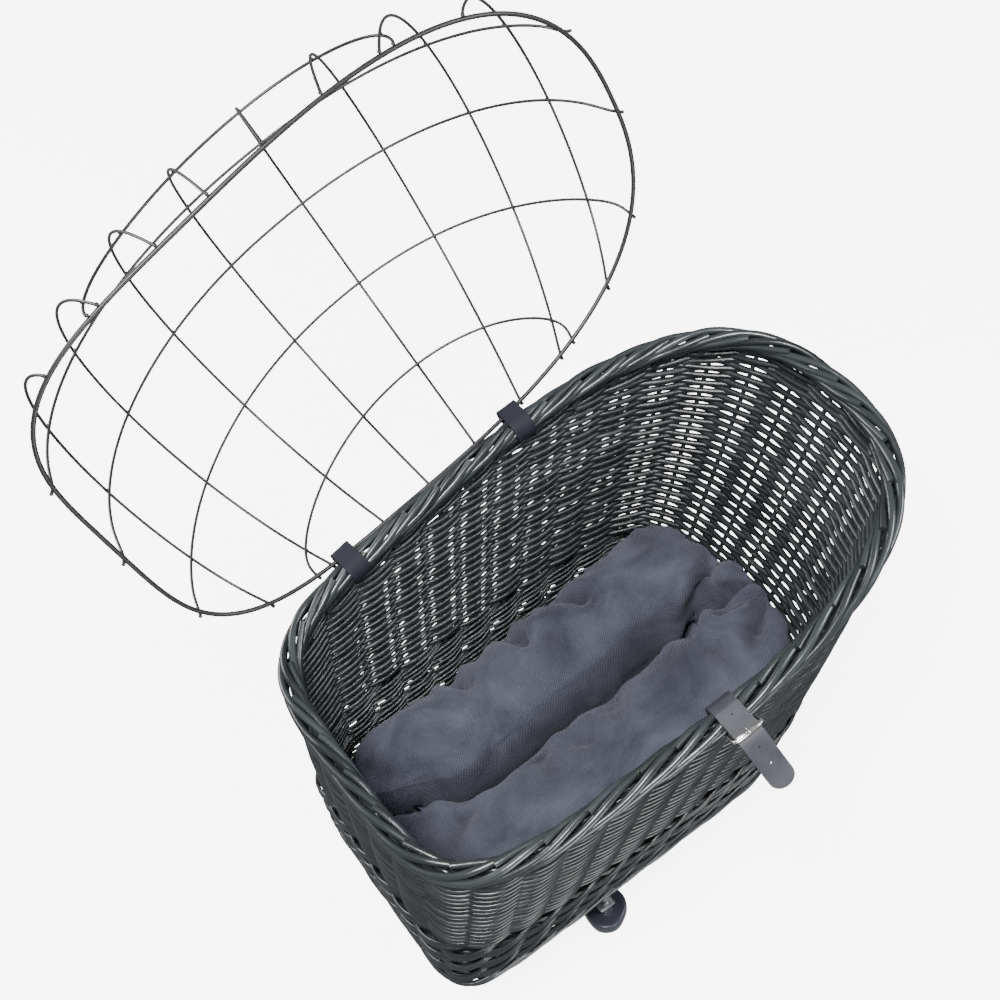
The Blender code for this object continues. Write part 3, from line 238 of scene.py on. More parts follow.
class Shader:
    """A Principled material with short ways to add nodes."""

    def __init__(self, name, **values):
        self.material = bpy.data.materials.new(name)
        self.material.use_nodes = True
        self.tree = self.material.node_tree
        self.main = self.tree.nodes["Principled BSDF"]
        for key, value in values.items():
            socket = self.main.inputs[key.replace("_", " ")]
            socket.default_value = (*value, 1.0) if isinstance(value, tuple) else value

    def node(self, kind, links=None, **settings):
        made = self.tree.nodes.new(kind)
        assign(made, **settings)
        for key, value in (links or {}).items():
            if hasattr(value, "is_output"):
                self.tree.links.new(value, made.inputs[key])
            else:
                made.inputs[key].default_value = value
        return made

    def coords(self, scale=(1.0, 1.0, 1.0)):
        source = self.node("ShaderNodeTexCoord").outputs["Object"]
        return self.mapped(source, Scale=scale)

    def mapped(self, vector, **values):
        return self.node("ShaderNodeMapping", {"Vector": vector, **values}).outputs["Vector"]

    def noise(self, vector, scale, detail=3.0, rough=0.55, distort=0.0):
        made = self.node("ShaderNodeTexNoise", {
            "Vector": vector, "Scale": scale, "Detail": detail, "Roughness": rough,
            "Distortion": distort,
        })
        return made.outputs["Fac"]

    def ramp(self, value, stops):
        made = self.node("ShaderNodeValToRGB", {"Fac": value})
        line = made.color_ramp
        while len(line.elements) < len(stops):
            line.elements.new(0.5)
        for element, (place, colour) in zip(line.elements, stops):
            element.position = place
            colour = colour if isinstance(colour, tuple) else (colour,) * 3
            element.color = (*colour, 1.0)
        return made.outputs["Color"]

    def math(self, operation, first, second=0.0):
        return self.node("ShaderNodeMath", {0: first, 1: second}, operation=operation).outputs[0]

    def line(self, value, factor, more):
        """value * factor + more"""
        return self.math("ADD", self.math("MULTIPLY", value, factor), more)

    def blend(self, *parts):
        """The sum of the parts, each a value and its factor."""
        total, *others = [self.math("MULTIPLY", value, factor) for value, factor in parts]
        for part in others:
            total = self.math("ADD", total, part)
        return total

    def mix(self, share, first, second):
        made = self.node("ShaderNodeMix", data_type="RGBA")
        for index, value in ((0, share), (6, first), (7, second)):
            if hasattr(value, "is_output"):
                self.tree.links.new(value, made.inputs[index])
            elif isinstance(value, tuple):
                made.inputs[index].default_value = (*value, 1.0)
            else:
                made.inputs[index].default_value = value
        return made.outputs[2]

    def bump(self, height, distance, strength=1.0, under=None):
        links = {"Height": height, "Distance": distance, "Strength": strength}
        if under is not None:
            links["Normal"] = under
        return self.node("ShaderNodeBump", links).outputs["Normal"]

    def set(self, socket, value):
        self.tree.links.new(value, self.main.inputs[socket])


# Materials

def shaded(colour, factor):
    return tuple(factor * v for v in colour)


def willow(name, dark, light, roughness):
    """Painted willow: bark grain along the rod, tone from rod to rod, thin paint on the knots."""
    made = Shader(name, Roughness=roughness, Specular_IOR_Level=0.55)
    uv = made.node("ShaderNodeTexCoord").outputs["UV"]
    parts = made.node("ShaderNodeSeparateXYZ", {"Vector": uv})
    rod = made.math("FLOOR", parts.outputs["Y"])
    rod_tone = made.node("ShaderNodeTexWhiteNoise", {"W": rod}, noise_dimensions="1D")
    stretched = made.mapped(uv, Scale=(45.0, 7.0, 1.0))
    grain = made.noise(stretched, 1.0, 4.0, 0.6)
    patches = made.noise(made.coords(), 22.0)
    share = made.blend((rod_tone.outputs["Value"], 0.45), (grain, 0.45), (patches, 0.25))
    colour = made.ramp(share, ((0.25, dark), (0.85, light)))
    worn = made.noise(stretched, 0.35, 5.0, 0.7)
    wear = made.ramp(worn, ((0.70, 0.0), (0.78, 0.35)))
    made.set("Base Color", made.mix(wear, colour, shaded(light, 1.8)))
    made.set("Roughness", made.line(grain, 0.25, roughness - 0.12))
    made.set("Normal", made.bump(grain, 0.0004, 0.7))
    return made.material


def wire_paint(name, colour, roughness=0.38):
    """Enamelled wire, slightly uneven."""
    made = Shader(name, Base_Color=colour, Roughness=roughness, Metallic=0.25)
    spots = made.noise(made.coords(), 260.0)
    made.set("Base Color", made.mix(spots, shaded(colour, 0.75), shaded(colour, 1.35)))
    made.set("Roughness", made.line(spots, 0.2, roughness - 0.1))
    made.set("Normal", made.bump(made.noise(made.coords(), 900.0, 2.0), 0.0001, 0.5))
    return made.material


def leather(name, dark, light, roughness, specular=0.5):
    """Leather with a fine pebbled grain and rubbed spots."""
    made = Shader(name, Roughness=roughness, Specular_IOR_Level=specular)
    place = made.coords()
    cells = made.node("ShaderNodeTexVoronoi", {"Vector": place, "Scale": 1300.0})
    rubbed = made.noise(place, 60.0, 4.0)
    made.set("Base Color", made.mix(rubbed, dark, light))
    made.set("Roughness", made.line(rubbed, 0.25, roughness - 0.12))
    fine = made.bump(made.noise(place, 2200.0, 2.0), 0.0001, 0.5)
    made.set("Normal", made.bump(cells.outputs["Distance"], 0.00012, 0.6, fine))
    return made.material


def metal(name, colour, roughness, stretch=1.0):
    """Plated metal with faint scratches."""
    made = Shader(name, Base_Color=colour, Roughness=roughness, Metallic=1.0)
    cloud = made.noise(made.coords((1.0, stretch, 1.0)), 180.0, 4.0)
    made.set("Base Color", made.mix(cloud, shaded(colour, 0.82), colour))
    made.set("Roughness", made.line(cloud, 0.22, roughness - 0.1))
    made.set("Normal", made.bump(cloud, 0.0001, 0.3))
    return made.material


def plastic(name, colour, roughness):
    """Moulded plastic with a faint orange peel."""
    made = Shader(name, Base_Color=colour, Roughness=roughness)
    peel = made.noise(made.coords(), 420.0)
    made.set("Base Color", made.mix(peel, shaded(colour, 0.85), shaded(colour, 1.15)))
    made.set("Normal", made.bump(peel, 0.00015, 0.35))
    return made.material


def velour(name, dark, light):
    """Ribbed velour: short pile in fine slanted ribs, brushed in patches, with painted shade
    darkening its folds.
    """
    made = Shader(
        name, Roughness=0.85, Sheen_Weight=0.12, Sheen_Roughness=0.45,
        Sheen_Tint=(0.75, 0.78, 0.92), Specular_IOR_Level=0.2,
    )
    place = made.coords()
    bend = made.noise(place, 9.0, 2.0)

    def threads(turn, scale, distortion, detail_scale):
        turned = made.mapped(place, Rotation=(0.0, 0.0, turn))
        return made.node("ShaderNodeTexWave", {
            "Vector": turned, "Scale": scale, "Distortion": distortion,
            "Detail": 1.0, "Detail Scale": detail_scale,
        }).outputs["Fac"]

    ribs = threads(0.9, 145.0, 0.8, 3.0)
    picks = threads(-0.7, 210.0, 1.5, 4.0)
    brushed = made.noise(place, 16.0, 4.0, 0.6, 0.6)
    tone = made.blend((brushed, 0.75), (ribs, 0.09), (picks, 0.08), (bend, 0.15))
    colour = made.ramp(tone, ((0.35, dark), (0.80, light)))
    # Painted shade: the fold_shade attribute mixes the cloth colour toward near-black in its
    # creases and tucks.
    fold = made.node("ShaderNodeAttribute", attribute_name="fold_shade").outputs["Fac"]
    fold = made.math("MULTIPLY", fold, 0.7)
    made.set("Base Color", made.mix(fold, colour, (0.008, 0.008, 0.012)))
    made.set("Normal", made.bump(ribs, 0.0006, 0.7, made.bump(picks, 0.0006, 0.5)))
    return made.material


WILLOW = willow("weaver_paint", (0.005, 0.006, 0.007), (0.025, 0.029, 0.031), 0.28)
STAKE = willow("stake_paint", (0.006, 0.007, 0.007), (0.018, 0.021, 0.021), 0.5)
BORDER = willow("border_paint", (0.007, 0.009, 0.010), (0.032, 0.038, 0.041), 0.28)
LID_PAINT = wire_paint("wire_enamel", (0.022, 0.021, 0.022))
HINGE_LEATHER = leather("hinge_hide", (0.006, 0.006, 0.010), (0.017, 0.018, 0.027), 0.66, 0.2)
STRAP_LEATHER = leather("strap_hide", (0.015, 0.016, 0.021), (0.034, 0.036, 0.046), 0.44)
NICKEL = metal("nickel_plate", (0.80, 0.77, 0.74), 0.2)
ZINC = metal("zinc_plate", (0.50, 0.52, 0.54), 0.32, 14.0)
KNOB = plastic("knob_moulding", (0.034, 0.036, 0.048), 0.18)
RUBBER = plastic("pad_moulding", (0.02, 0.02, 0.022), 0.7)
CLOTH = velour("cushion_pile", (0.030, 0.032, 0.046), (0.108, 0.112, 0.146))


# Curves of the basket

def signed_power(value, power):
    return math.copysign(abs(value) ** power, value)


def plan_point(angle, low_reach, high_reach):
    c, s = math.cos(angle), math.sin(angle)
    reach, power = (high_reach, RIM_HIGH_POWER) if c > 0 else (low_reach, RIM_LOW_POWER)
    x = reach * signed_power(c, 2 / power)
    widening = 1 + RIM_FLARE_SHARE * x / high_reach
    return np.array((RIM_STATION_X + x, RIM_HALF_WIDTH * widening * signed_power(s, 2 / power)))


def rim_point(angle):
    return plan_point(angle, RIM_LOW_REACH, RIM_HIGH_REACH)


def lid_point(angle):
    return plan_point(angle, LID_LOW_REACH, LID_HIGH_REACH)


def base_point(angle):
    x = BASE_HALF_LENGTH * signed_power(math.cos(angle), 2 / BASE_POWER)
    y = BASE_HALF_WIDTH * signed_power(math.sin(angle), 2 / BASE_POWER)
    return np.array((BASE_CENTRE_X + x, y))


def even_loop(plan, count, inset=0.0):
    """Evenly spaced points of a closed plan curve and their outward directions."""
    angles = np.linspace(0, 2 * math.pi, 2880, endpoint=False)
    fine = np.array([plan(angle) for angle in angles])
    closed = np.vstack((fine, fine[:1]))
    travelled = running_length(closed)
    total = travelled[-1]

    def place(run):
        return np.column_stack([np.interp(run % total, travelled, closed[:, k]) for k in (0, 1)])

    wanted = np.arange(count) / count * total
    reach = total / 360
    along = place(wanted + reach) - place(wanted - reach)
    along /= np.linalg.norm(along, axis=1)[:, None]
    out = np.column_stack((along[:, 1], -along[:, 0]))
    return place(wanted) - inset * out, out


def rim_height(x):
    share = (x - RIM_STATION_X + RIM_LOW_REACH) / (RIM_LOW_REACH + RIM_HIGH_REACH)
    share = np.clip(share, 0.0, 1.0)
    return RIM_LOW_HEIGHT + (RIM_HIGH_HEIGHT - RIM_LOW_HEIGHT) * share ** RIM_RISE_POWER


STEPS = 8                   # columns of points from stake to stake
COLUMNS = STAKE_COUNT * STEPS
FOOT, FOOT_OUT = even_loop(base_point, COLUMNS, inset=FOOT_INSET)
RIM, RIM_OUT = even_loop(rim_point, COLUMNS)
WALL_LOW = FOOT_TOP + FIT_GAP
WALL_HIGH = rim_height(RIM[:, 0]) - BORDER_RADIUS - FIT_GAP


def smooth_noise(count, waves, size):
    """A smooth closed line of random values."""
    turn = 2 * np.pi * np.arange(count) / count
    line = np.zeros(count)
    for wave in range(1, waves + 1):
        line += rng.normal() * np.cos(wave * turn + rng.uniform(0, 6.28)) / math.sqrt(waves)
    return line * size


def wall_line(share, offset):
    """A closed line on the wall: share of its height, and out from its middle, for each column."""
    share = np.broadcast_to(share, (COLUMNS,))
    z = WALL_LOW + (WALL_HIGH - WALL_LOW) * share
    mix = share[:, None]
    plan = FOOT * (1 - mix) + RIM * mix
    out = FOOT_OUT * (1 - mix) + RIM_OUT * mix
    out /= np.linalg.norm(out, axis=1)[:, None]
    swell = WALL_BELLY * np.sin(np.pi * share)
    place = plan + out * (swell + offset)[:, None]
    return np.column_stack((place, z))


# Wall weave

STAKE_RADIUS = 0.0025
STAKE_ENDS = (-0.06, 1.03)  # shares of the wall's height
WALE_ROUNDS = 3             # rounds of waling above the foot
WALE_BUNDLES = 3            # each before two stakes and behind one
WALE_RODS = 5               # rods to a bundle
WALE_ROD_RADIUS = 0.00185
WALE_BASE = 0.0195
WALE_RISE = 0.033           # height of one round
WALE_MIDDLE = 0.0012        # out from the stakes' line
WALE_SWING = 0.0062
BAND_TOP = WALE_BASE + WALE_RISE * WALE_ROUNDS
ROD_RADIUS = 0.00255        # of the plain weave above the waling
ROD_GROWTH = 0.24           # thicker at the high end
ROW_PITCH = 0.0045
ROW_SWING = 0.0034          # in and out round the stakes
ROW_SWING_LOSS = 0.0008     # less at the high end
TOP_ROWS = 4                # that follow the rim
TOP_PITCH_SHARE = 0.9
HIGH_END_X, HIGH_END_SPAN = 0.10, 0.20


def wall_at(height, offset):
    """A closed line on the wall at given heights above the rack."""
    return wall_line(np.clip((height - WALL_LOW) / (WALL_HIGH - WALL_LOW), 0.0, 1.0), offset)


def add_waling(rods, stake_turn):
    """Bundles of rods that climb before two stakes and fan out behind the third."""
    half_rise = WALE_RISE / 2
    for turn in range(WALE_ROUNDS):
        for bundle in range(WALE_BUNDLES):
            phase = (stake_turn - bundle + 0.5) % 3
            out = WALE_MIDDLE + WALE_SWING * np.cos(2 * np.pi * (phase - 1) / 3)
            climb = np.clip((phase - 0.4) / 1.2, 0.0, 1.0)
            climb = climb * climb * (3 - 2 * climb) * (phase < 2.5)
            away = np.minimum(np.abs(phase - 2.5), phase + 0.5)
            behind = np.clip(np.cos(np.pi * np.minimum(away, 0.9) / 1.8), 0.0, 1.0)
            for rod in range(WALE_RODS):
                height = WALE_BASE + WALE_RISE * turn
                height = height + (rod + 0.5) / WALE_RODS * half_rise * (1 + behind)
                height = height + climb * half_rise * (1 - behind)
                height = height + smooth_noise(COLUMNS, 14, 0.0004)
                radius = WALE_ROD_RADIUS * rng.uniform(0.92, 1.08)
                offset = out + smooth_noise(COLUMNS, 9, 0.0003)
                rods.add(wall_at(height, offset), radius, (0, 0, 1), closed=True)


def add_plain_weave(rods, stake_turn):
    """Level rows that run out under the rim where it slopes, and top rows that follow it."""
    packed = WALL_HIGH - TOP_ROWS * ROW_PITCH
    rows = math.ceil((packed.max() - BAND_TOP) / ROW_PITCH + 0.5) + TOP_ROWS
    high_end = np.clip((RIM[:, 0] - HIGH_END_X) / HIGH_END_SPAN, 0.0, 1.0)
    for row in range(rows):
        wave = ROW_SWING - ROW_SWING_LOSS * high_end
        wave = wave * np.cos(np.pi * stake_turn + np.pi * row)
        offset = wave * (1 + smooth_noise(COLUMNS, 5, 0.06))
        radius = ROD_RADIUS * (1 + smooth_noise(COLUMNS, 4, 0.05)) * rng.uniform(0.93, 1.07)
        radius = radius * (1 + ROD_GROWTH * high_end)
        wander = smooth_noise(COLUMNS, 12, 0.0003)
        if row >= rows - TOP_ROWS:
            height = WALL_HIGH - (rows - row - 0.6) * ROW_PITCH * TOP_PITCH_SHARE + wander
            there = np.full(COLUMNS, True)
        else:
            height = BAND_TOP + (row + 0.5) * ROW_PITCH + wander
            there = height < packed + ROW_PITCH
        line = wall_at(height, offset)
        if there.all():
            rods.add(line, radius, (0, 0, 1), closed=True)
            continue
        start = int(np.flatnonzero(there & ~np.roll(there, 1))[0])
        length = int(np.argmin(np.roll(there, -start)))
        if length > 3:
            pick = (start + np.arange(length)) % COLUMNS
            rods.add(line[pick], radius[pick], (0, 0, 1))


def make_wall():
    """Weavers round the stakes: waled bundles low down, and plain weave from there to the rim."""
    rods = Strands()
    stake_turn = STAKE_COUNT * np.arange(COLUMNS) / COLUMNS
    add_waling(rods, stake_turn)
    add_plain_weave(rods, stake_turn)
    wall = rods.build("woven_wall", WILLOW)
    stakes = Strands()
    lines = [wall_line(share, np.zeros(COLUMNS)) for share in np.linspace(*STAKE_ENDS, 16)]
    for column in range(0, COLUMNS, STEPS):
        line = [points[column] for points in lines]
        stakes.add(line, STAKE_RADIUS, (*RIM_OUT[column], 0.0))
    dress(wall, "basket", "wall_weave")
    dress(stakes.build("wall_stakes", STAKE), "basket")


# Borders

def make_border(name, node, plan, inset, height, radius, rod_radius, turns, lead):
    """A rolled border: each stake lies down, winds slowly round it and ends in a cut on top."""
    samples = 10            # from stake to stake
    count = STAKE_COUNT * samples
    points, outward = even_loop(plan, count, inset=inset)
    heights = height(points[:, 0])
    first, rate, last = (math.radians(turn) for turn in turns)
    span = (first - last) / rate
    rods = Strands()
    for k in range(STAKE_COUNT):
        line, radii = [], []
        jitter = rng.normal(0, 0.05)
        reach = span + rng.uniform(-0.12, 0.12)
        thick = rod_radius * rng.uniform(0.95, 1.06)
        for step in range(-samples // 3, int(reach * samples) + 1):
            t = step / samples
            j = (k * samples - step) % count
            angle = first - rate * max(t, 0.0) + jitter
            angle += 0.20 * math.sin(2 * (angle - math.pi / 2))
            grow = min(max(t / 1.2, 0.0), 1.0)
            wind = (radius - rod_radius) * (0.6 + 0.4 * grow)
            wind += 0.0016 * min(max(t - reach + 1.6, 0.0), 1.0) ** 2
            wind += 0.0005 * math.sin(2.1 * t + 2.3 * k)
            across, up = wind * math.cos(angle), wind * math.sin(angle)
            up += min(t, 0.0) * lead
            line.append((*(points[j] + outward[j] * across), heights[j] + up))
            taper = 1.03 - 0.14 * max(t, 0.0) / span
            radii.append(thick * taper * (1 + 0.02 * math.sin(9 * t + k)))
        rods.add(line, radii, (*outward[k * samples], 0.4), sides=12)
    dress(rods.build(name, BORDER), "basket", node)


def make_borders():
    """Turns in degrees: where a stake lies down, how far it winds to the next, where it ends."""
    make_border(
        "rolled_rim", "rim_border", rim_point, 0.0, rim_height, BORDER_RADIUS, 0.0038,
        (250, 64, -262), 0.040,
    )
    make_border(
        "rolled_foot", "foot_border", base_point, FOOT_INSET,
        lambda x: np.full_like(x, FOOT_RADIUS), FOOT_RADIUS, 0.0029, (160, 66, -250), -0.040,
    )


# Floor

FLOOR_RIBS = 9
FLOOR_RIB_RADIUS = 0.0030
FLOOR_ROD_RADIUS = 0.0021
FLOOR_ROD_PITCH = 0.0047
FLOOR_SWING = 0.0022        # over and under the ribs
FLOOR_CLEAR = 0.006


def make_floor():
    """Rods woven over and under the ribs, on the three sticks."""
    edge, _ = even_loop(base_point, 720, inset=FOOT_INSET + FLOOR_CLEAR)
    side = positive_side(edge)
    low, high = edge[:, 0].min(), edge[:, 0].max()
    rods, ribs = Strands(), Strands()
    middle = FLOOR_LOW + FLOOR_THICKNESS / 2
    spacing = 2 * (BASE_HALF_WIDTH - 0.02) / (FLOOR_RIBS - 1)
    x = low + 0.004
    row = 0
    while x < high - 0.004:
        half = np.interp(x, side[:, 0], side[:, 1])
        y = np.linspace(-half, half, 72)
        z = middle + FLOOR_SWING * np.cos(np.pi * y / spacing + np.pi * row)
        line = np.column_stack((np.full_like(y, x), y, z))
        rods.add(line, FLOOR_ROD_RADIUS, (0, 0, 1), sides=6)
        x += FLOOR_ROD_PITCH
        row += 1
    for k in range(FLOOR_RIBS):
        y = (k - (FLOOR_RIBS - 1) / 2) * spacing
        x = np.linspace(low + 0.002, high - 0.002, 24)
        line = np.column_stack((x, np.full_like(x, y), np.full_like(x, middle)))
        ribs.add(line, FLOOR_RIB_RADIUS, (0, 0, 1))
    dress(rods.build("woven_floor", WILLOW), "basket", "floor_weave")
    dress(ribs.build("floor_ribs", STAKE), "basket")
    for name in ("floor_stick_a", "floor_stick_b", "floor_stick_c"):
        refine(name, STAKE, 0.0014, "basket")


# CAD pieces with rounded edges

def refine(node, material, bevel, body, segments=2):
    """A finer copy of a CAD piece: welded, with rounded edges and its own material."""
    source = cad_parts[node]
    bm = bmesh.new()
    bm.from_mesh(source.data)
    bm.transform(source.matrix_world)
    bmesh.ops.remove_doubles(bm, verts=bm.verts, dist=1e-5)
    bmesh.ops.dissolve_limit(bm, angle_limit=math.radians(1), verts=bm.verts, edges=bm.edges)
    obj = bmesh_object(f"{node}_finish", bm, material)
    if bevel:
        round_edges(obj, bevel, segments, 40)
    dress(obj, body, node)


def make_clamp():
    for node in ("rack_bar", "floor_plate"):
        refine(node, ZINC, 0.0005, "basket")
    refine("rack_pad", RUBBER, 0.0004, "basket")
    refine("clamp_bar", ZINC, 0.0005, "clamp")
    for side in ("buckle_side", "hinge_side"):
        refine(f"rack_bolt_{side}", ZINC, 0.0003, "basket")
        refine(f"rack_nut_{side}", ZINC, 0.0004, "basket")
        refine(f"hand_knob_{side}", KNOB, 0.0008, f"knob_{side}", 3)


# Lid

SEAT_REACH = BORDER_RADIUS + RING_WIRE_RADIUS + RING_CLEARANCE
RING_OUT = SEAT_REACH * math.cos(RING_SEAT_ANGLE)
RING_UP = SEAT_REACH * math.sin(RING_SEAT_ANGLE)
WIRE_STEP = LID_WIRE_RADIUS + FIT_GAP / 2
RING_STEP = RING_WIRE_RADIUS + LID_WIRE_RADIUS + 2 * FIT_GAP
BEAD_RADIUS = LID_WIRE_RADIUS * 1.35
WIRE_PARTS = 96
RIM_SLOPE = (RIM_HIGH_HEIGHT - RIM_LOW_HEIGHT) / (RIM_LOW_REACH + RIM_HIGH_REACH)


def ring_points(count):
    points, _ = even_loop(lid_point, count, inset=-RING_OUT)
    inner, _ = even_loop(lid_point, count)
    share = np.maximum((inner[:, 0] - RIM_STATION_X) / LID_HIGH_REACH, 0.0)
    z = rim_height(inner[:, 0]) + RING_UP + LID_HIGH_LIFT * share ** 2
    return np.column_stack((points, z))


RING_FINE = ring_points(1440)
RING_LOW_X = RING_FINE[:, 0].min()
RING_HIGH_X = RING_FINE[:, 0].max()
RING_LENGTH = RING_HIGH_X - RING_LOW_X
RING_SIDE = positive_side(RING_FINE)


def ring_half(x):
    width = np.interp(x, RING_SIDE[:, 0], RING_SIDE[:, 1])
    height = np.interp(x, RING_SIDE[:, 0], RING_SIDE[:, 2])
    return float(width), float(height)


def smooth_table(share, shares):
    """A smooth curve through a table of shares, from 0 to 1."""
    values = np.array((0.0, *shares, 1.0))
    place = share * (len(values) - 1)
    k = int(min(max(math.floor(place), 0), len(values) - 2))
    t = place - k
    slopes = np.gradient(values)
    ease = 3 * t ** 2 - 2 * t ** 3
    start = t - 2 * t ** 2 + t ** 3
    end = t ** 3 - t ** 2
    return (1 - ease) * values[k] + ease * values[k + 1] + start * slopes[k] + end * slopes[k + 1]


def dome_point(share, angle):
    """A place on the dome of the closed lid: share along it, and angle over it from +Y."""
    foot_x = RING_LOW_X + RING_LENGTH * smooth_table(share, ARCH_FOOT_SHARES)
    crown_share = smooth_table(share, ARCH_CROWN_SHARES)
    width, base = ring_half(foot_x)
    along = 2 * crown_share - 1
    power = DOME_LOW_POWER if along < 0 else DOME_HIGH_POWER
    height = DOME_HEIGHT * max(1 - abs(along) ** power, 0.0) ** (1 / power)
    rise = height * abs(math.sin(angle)) ** (2 / DOME_SECTION_POWER)
    y = width * signed_power(math.cos(angle), 2 / DOME_SECTION_POWER)
    lean = RING_LENGTH * crown_share + RING_LOW_X - foot_x
    lean *= rise / height if height > 0 else 0.0
    return Vector((foot_x + lean - RIM_SLOPE * rise, y, base + RIM_SLOPE * lean + rise))


def dome_normal(share, angle):
    small = 0.01
    low, high = max(share - small, small), min(share + small, 1 - small)
    before, after = max(angle - small, 0.0), min(angle + small, math.pi)
    along = dome_point(high, angle) - dome_point(low, angle)
    over = dome_point(share, after) - dome_point(share, before)
    normal = along.cross(over).normalized()
    middle_height = (RIM_LOW_HEIGHT + RIM_HIGH_HEIGHT) / 2
    if normal.dot(dome_point(share, angle) - Vector((RIM_STATION_X, 0.0, middle_height))) < 0:
        normal.negate()
    return normal


def long_wire_offset(share, wire_share):
    along = 2 * smooth_table(share, ARCH_CROWN_SHARES) - 1
    return LONG_WIRE_OFFSET * wire_share * (1 + LONG_WIRE_SPREAD_SHARE * along ** 2)


def room_beside(share, wire_share):
    return dome_point(share, 0.0).y - abs(long_wire_offset(share, wire_share))


def crossing_angle(share, wire_share):
    ratio = abs(long_wire_offset(share, wire_share)) / dome_point(share, 0.0).y
    angle = math.acos(min(ratio, 1.0) ** (DOME_SECTION_POWER / 2))
    return angle if wire_share > 0 else math.pi - angle


def long_wire_end(wire_share, end):
    """The share at which a long wire meets the ring, toward the low end (0) or high end (1)."""
    outside, inside = float(end), 0.5
    for _ in range(30):
        middle = (outside + inside) / 2
        if room_beside(middle, wire_share) > 0:
            inside = middle
        else:
            outside = middle
    return inside


def skin_point(share, angle, step):
    """A wire's middle: a step off the dome, and outside the ring where it is welded to it."""
    point = dome_point(share, angle)
    near = math.exp(-abs(point.z - dome_point(share, 0.0).z) / WELD_FADE)
    inner = min(max(angle, END_TURN), math.pi - END_TURN)
    return point + dome_normal(share, inner) * (step * (1 - near) + RING_STEP * near)


def border_station(x, side):
    """Middle, outward and lengthwise directions of the rim's border nearest to x on one side."""
    count = 1440
    points, outward = even_loop(rim_point, count)
    far = np.where(points[:, 1] * side > 0, abs(points[:, 0] - x), math.inf)
    best = int(np.argmin(far))

    def place(k):
        plan = points[k % count]
        return Vector((*plan, rim_height(plan[0])))

    along = (place(best - 8) - place(best + 8)).normalized()
    return place(best), Vector((*outward[best], 0.0)), along


def station_frame(station):
    centre, out, along = station
    up = along.cross(out)
    matrix = Matrix((along, out, up)).transposed().to_4x4()
    matrix.translation = centre
    return matrix


def hinge_stations():
    step = HINGE_STRAP_WIDTH / 2 + LID_WIRE_RADIUS + HINGE_ARCH_GAP
    return [
        border_station(RING_LOW_X + RING_LENGTH * ARCH_FOOT_SHARES[arch] + side * step, 1)
        for arch, side in zip(HINGE_ARCHES, HINGE_STRAP_SIDES)
    ]


def hinge_axis():
    eyes = []
    for (centre, out, _), shift in zip(hinge_stations(), HINGE_SHIFTS):
        eyes.append(centre + out * (RING_OUT + shift) + Vector((0.0, 0.0, RING_UP - HINGE_DROP)))
    return (eyes[0] + eyes[1]) / 2, (eyes[1] - eyes[0]).normalized()


def lid_wire(name, node, points, radius=LID_WIRE_RADIUS, closed=False):
    """A smooth wire of the lid along many points, as a mesh tube."""
    rods = Strands()
    points = np.array([tuple(p) for p in points])
    up = points - points.mean(0)
    if closed:
        up = np.broadcast_to(np.cross(up[0], up[len(points) // 4]), up.shape)
    rods.add(points, radius, up / np.linalg.norm(up, axis=1)[:, None], sides=12, closed=closed)
    dress(rods.build(name, LID_PAINT), "lid", node)


def make_lid():
    """The ring, the arches, the long wires and a bead at each weld, at the open angle."""
    middle, axis = hinge_axis()
    turn = Matrix.Translation(middle) @ Matrix.Rotation(-LID_OPEN_ANGLE, 4, axis)
    turn = turn @ Matrix.Translation(-middle)
    ring = [turn @ Vector(p) for p in ring_points(360)]
    lid_wire("ring_wire", "lid_ring", ring, RING_WIRE_RADIUS, closed=True)
    welds = []
    overhang = Vector((0.0, 0.0, WIRE_END_OVERHANG))
    for k in range(len(ARCH_FOOT_SHARES)):
        share = (k + 1) / (len(ARCH_FOOT_SHARES) + 1)
        line = [
            skin_point(share, math.pi * step / WIRE_PARTS, WIRE_STEP)
            for step in range(WIRE_PARTS + 1)
        ]
        for end in (0, -1):
            line[end] = line[end] - overhang
            welds.append(line[end] + overhang)
        for wire_share in LONG_WIRE_SHARES:
            if room_beside(share, wire_share) > 0:
                welds.append(skin_point(share, crossing_angle(share, wire_share), 0.0))
        lid_wire(f"arch_wire_{k + 1}", f"lid_arch_{k + 1}", [turn @ p for p in line])
    for k, wire_share in enumerate(LONG_WIRE_SHARES):
        low, high = long_wire_end(wire_share, 0), long_wire_end(wire_share, 1)
        line = []
        for step in range(WIRE_PARTS + 1):
            share = low + (high - low) * (0.5 - 0.5 * math.cos(math.pi * step / WIRE_PARTS))
            angle = crossing_angle(share, wire_share)
            line.append(turn @ skin_point(share, angle, -WIRE_STEP))
            if step in (0, WIRE_PARTS):
                welds.append(skin_point(share, angle, 0.0))
        lid_wire(f"long_wire_{k + 1}", f"lid_long_wire_{k + 1}", line)
    bm = bmesh.new()
    for place in welds:
        matrix = Matrix.Translation(turn @ place) @ Matrix.Diagonal((1.0, 1.0, 0.8, 1.0))
        bmesh.ops.create_icosphere(bm, subdivisions=2, radius=BEAD_RADIUS, matrix=matrix)
    dress(bmesh_object("weld_beads", bm, LID_PAINT), "lid")


# Leather

STRIP_STEP = 0.0015         # between the cuts that let a strip bend
HOLE_SHARES = (0.46, 0.56, 0.71, 0.83)  # of the strap's length
HOLE_RADIUS = 0.0008
TAIL_TIP = 0.011


def strip_path(points, steps=6):
    """A smooth line through points in a plane, with its running length."""
    pts = [np.array(p, float) for p in points]
    ends = [2 * pts[0] - pts[1], *pts, 2 * pts[-1] - pts[-2]]
    line = []
    for a, b, c, d in zip(ends, ends[1:], ends[2:], ends[3:]):
        for k in range(steps):
            t = k / steps
            place = b + (c - a) * t / 2 + (2 * a - 5 * b + 4 * c - d) * t ** 2 / 2
            line.append(place + (3 * b - a - 3 * c + d) * t ** 3 / 2)
    line.append(pts[-1])
    return np.array(line)


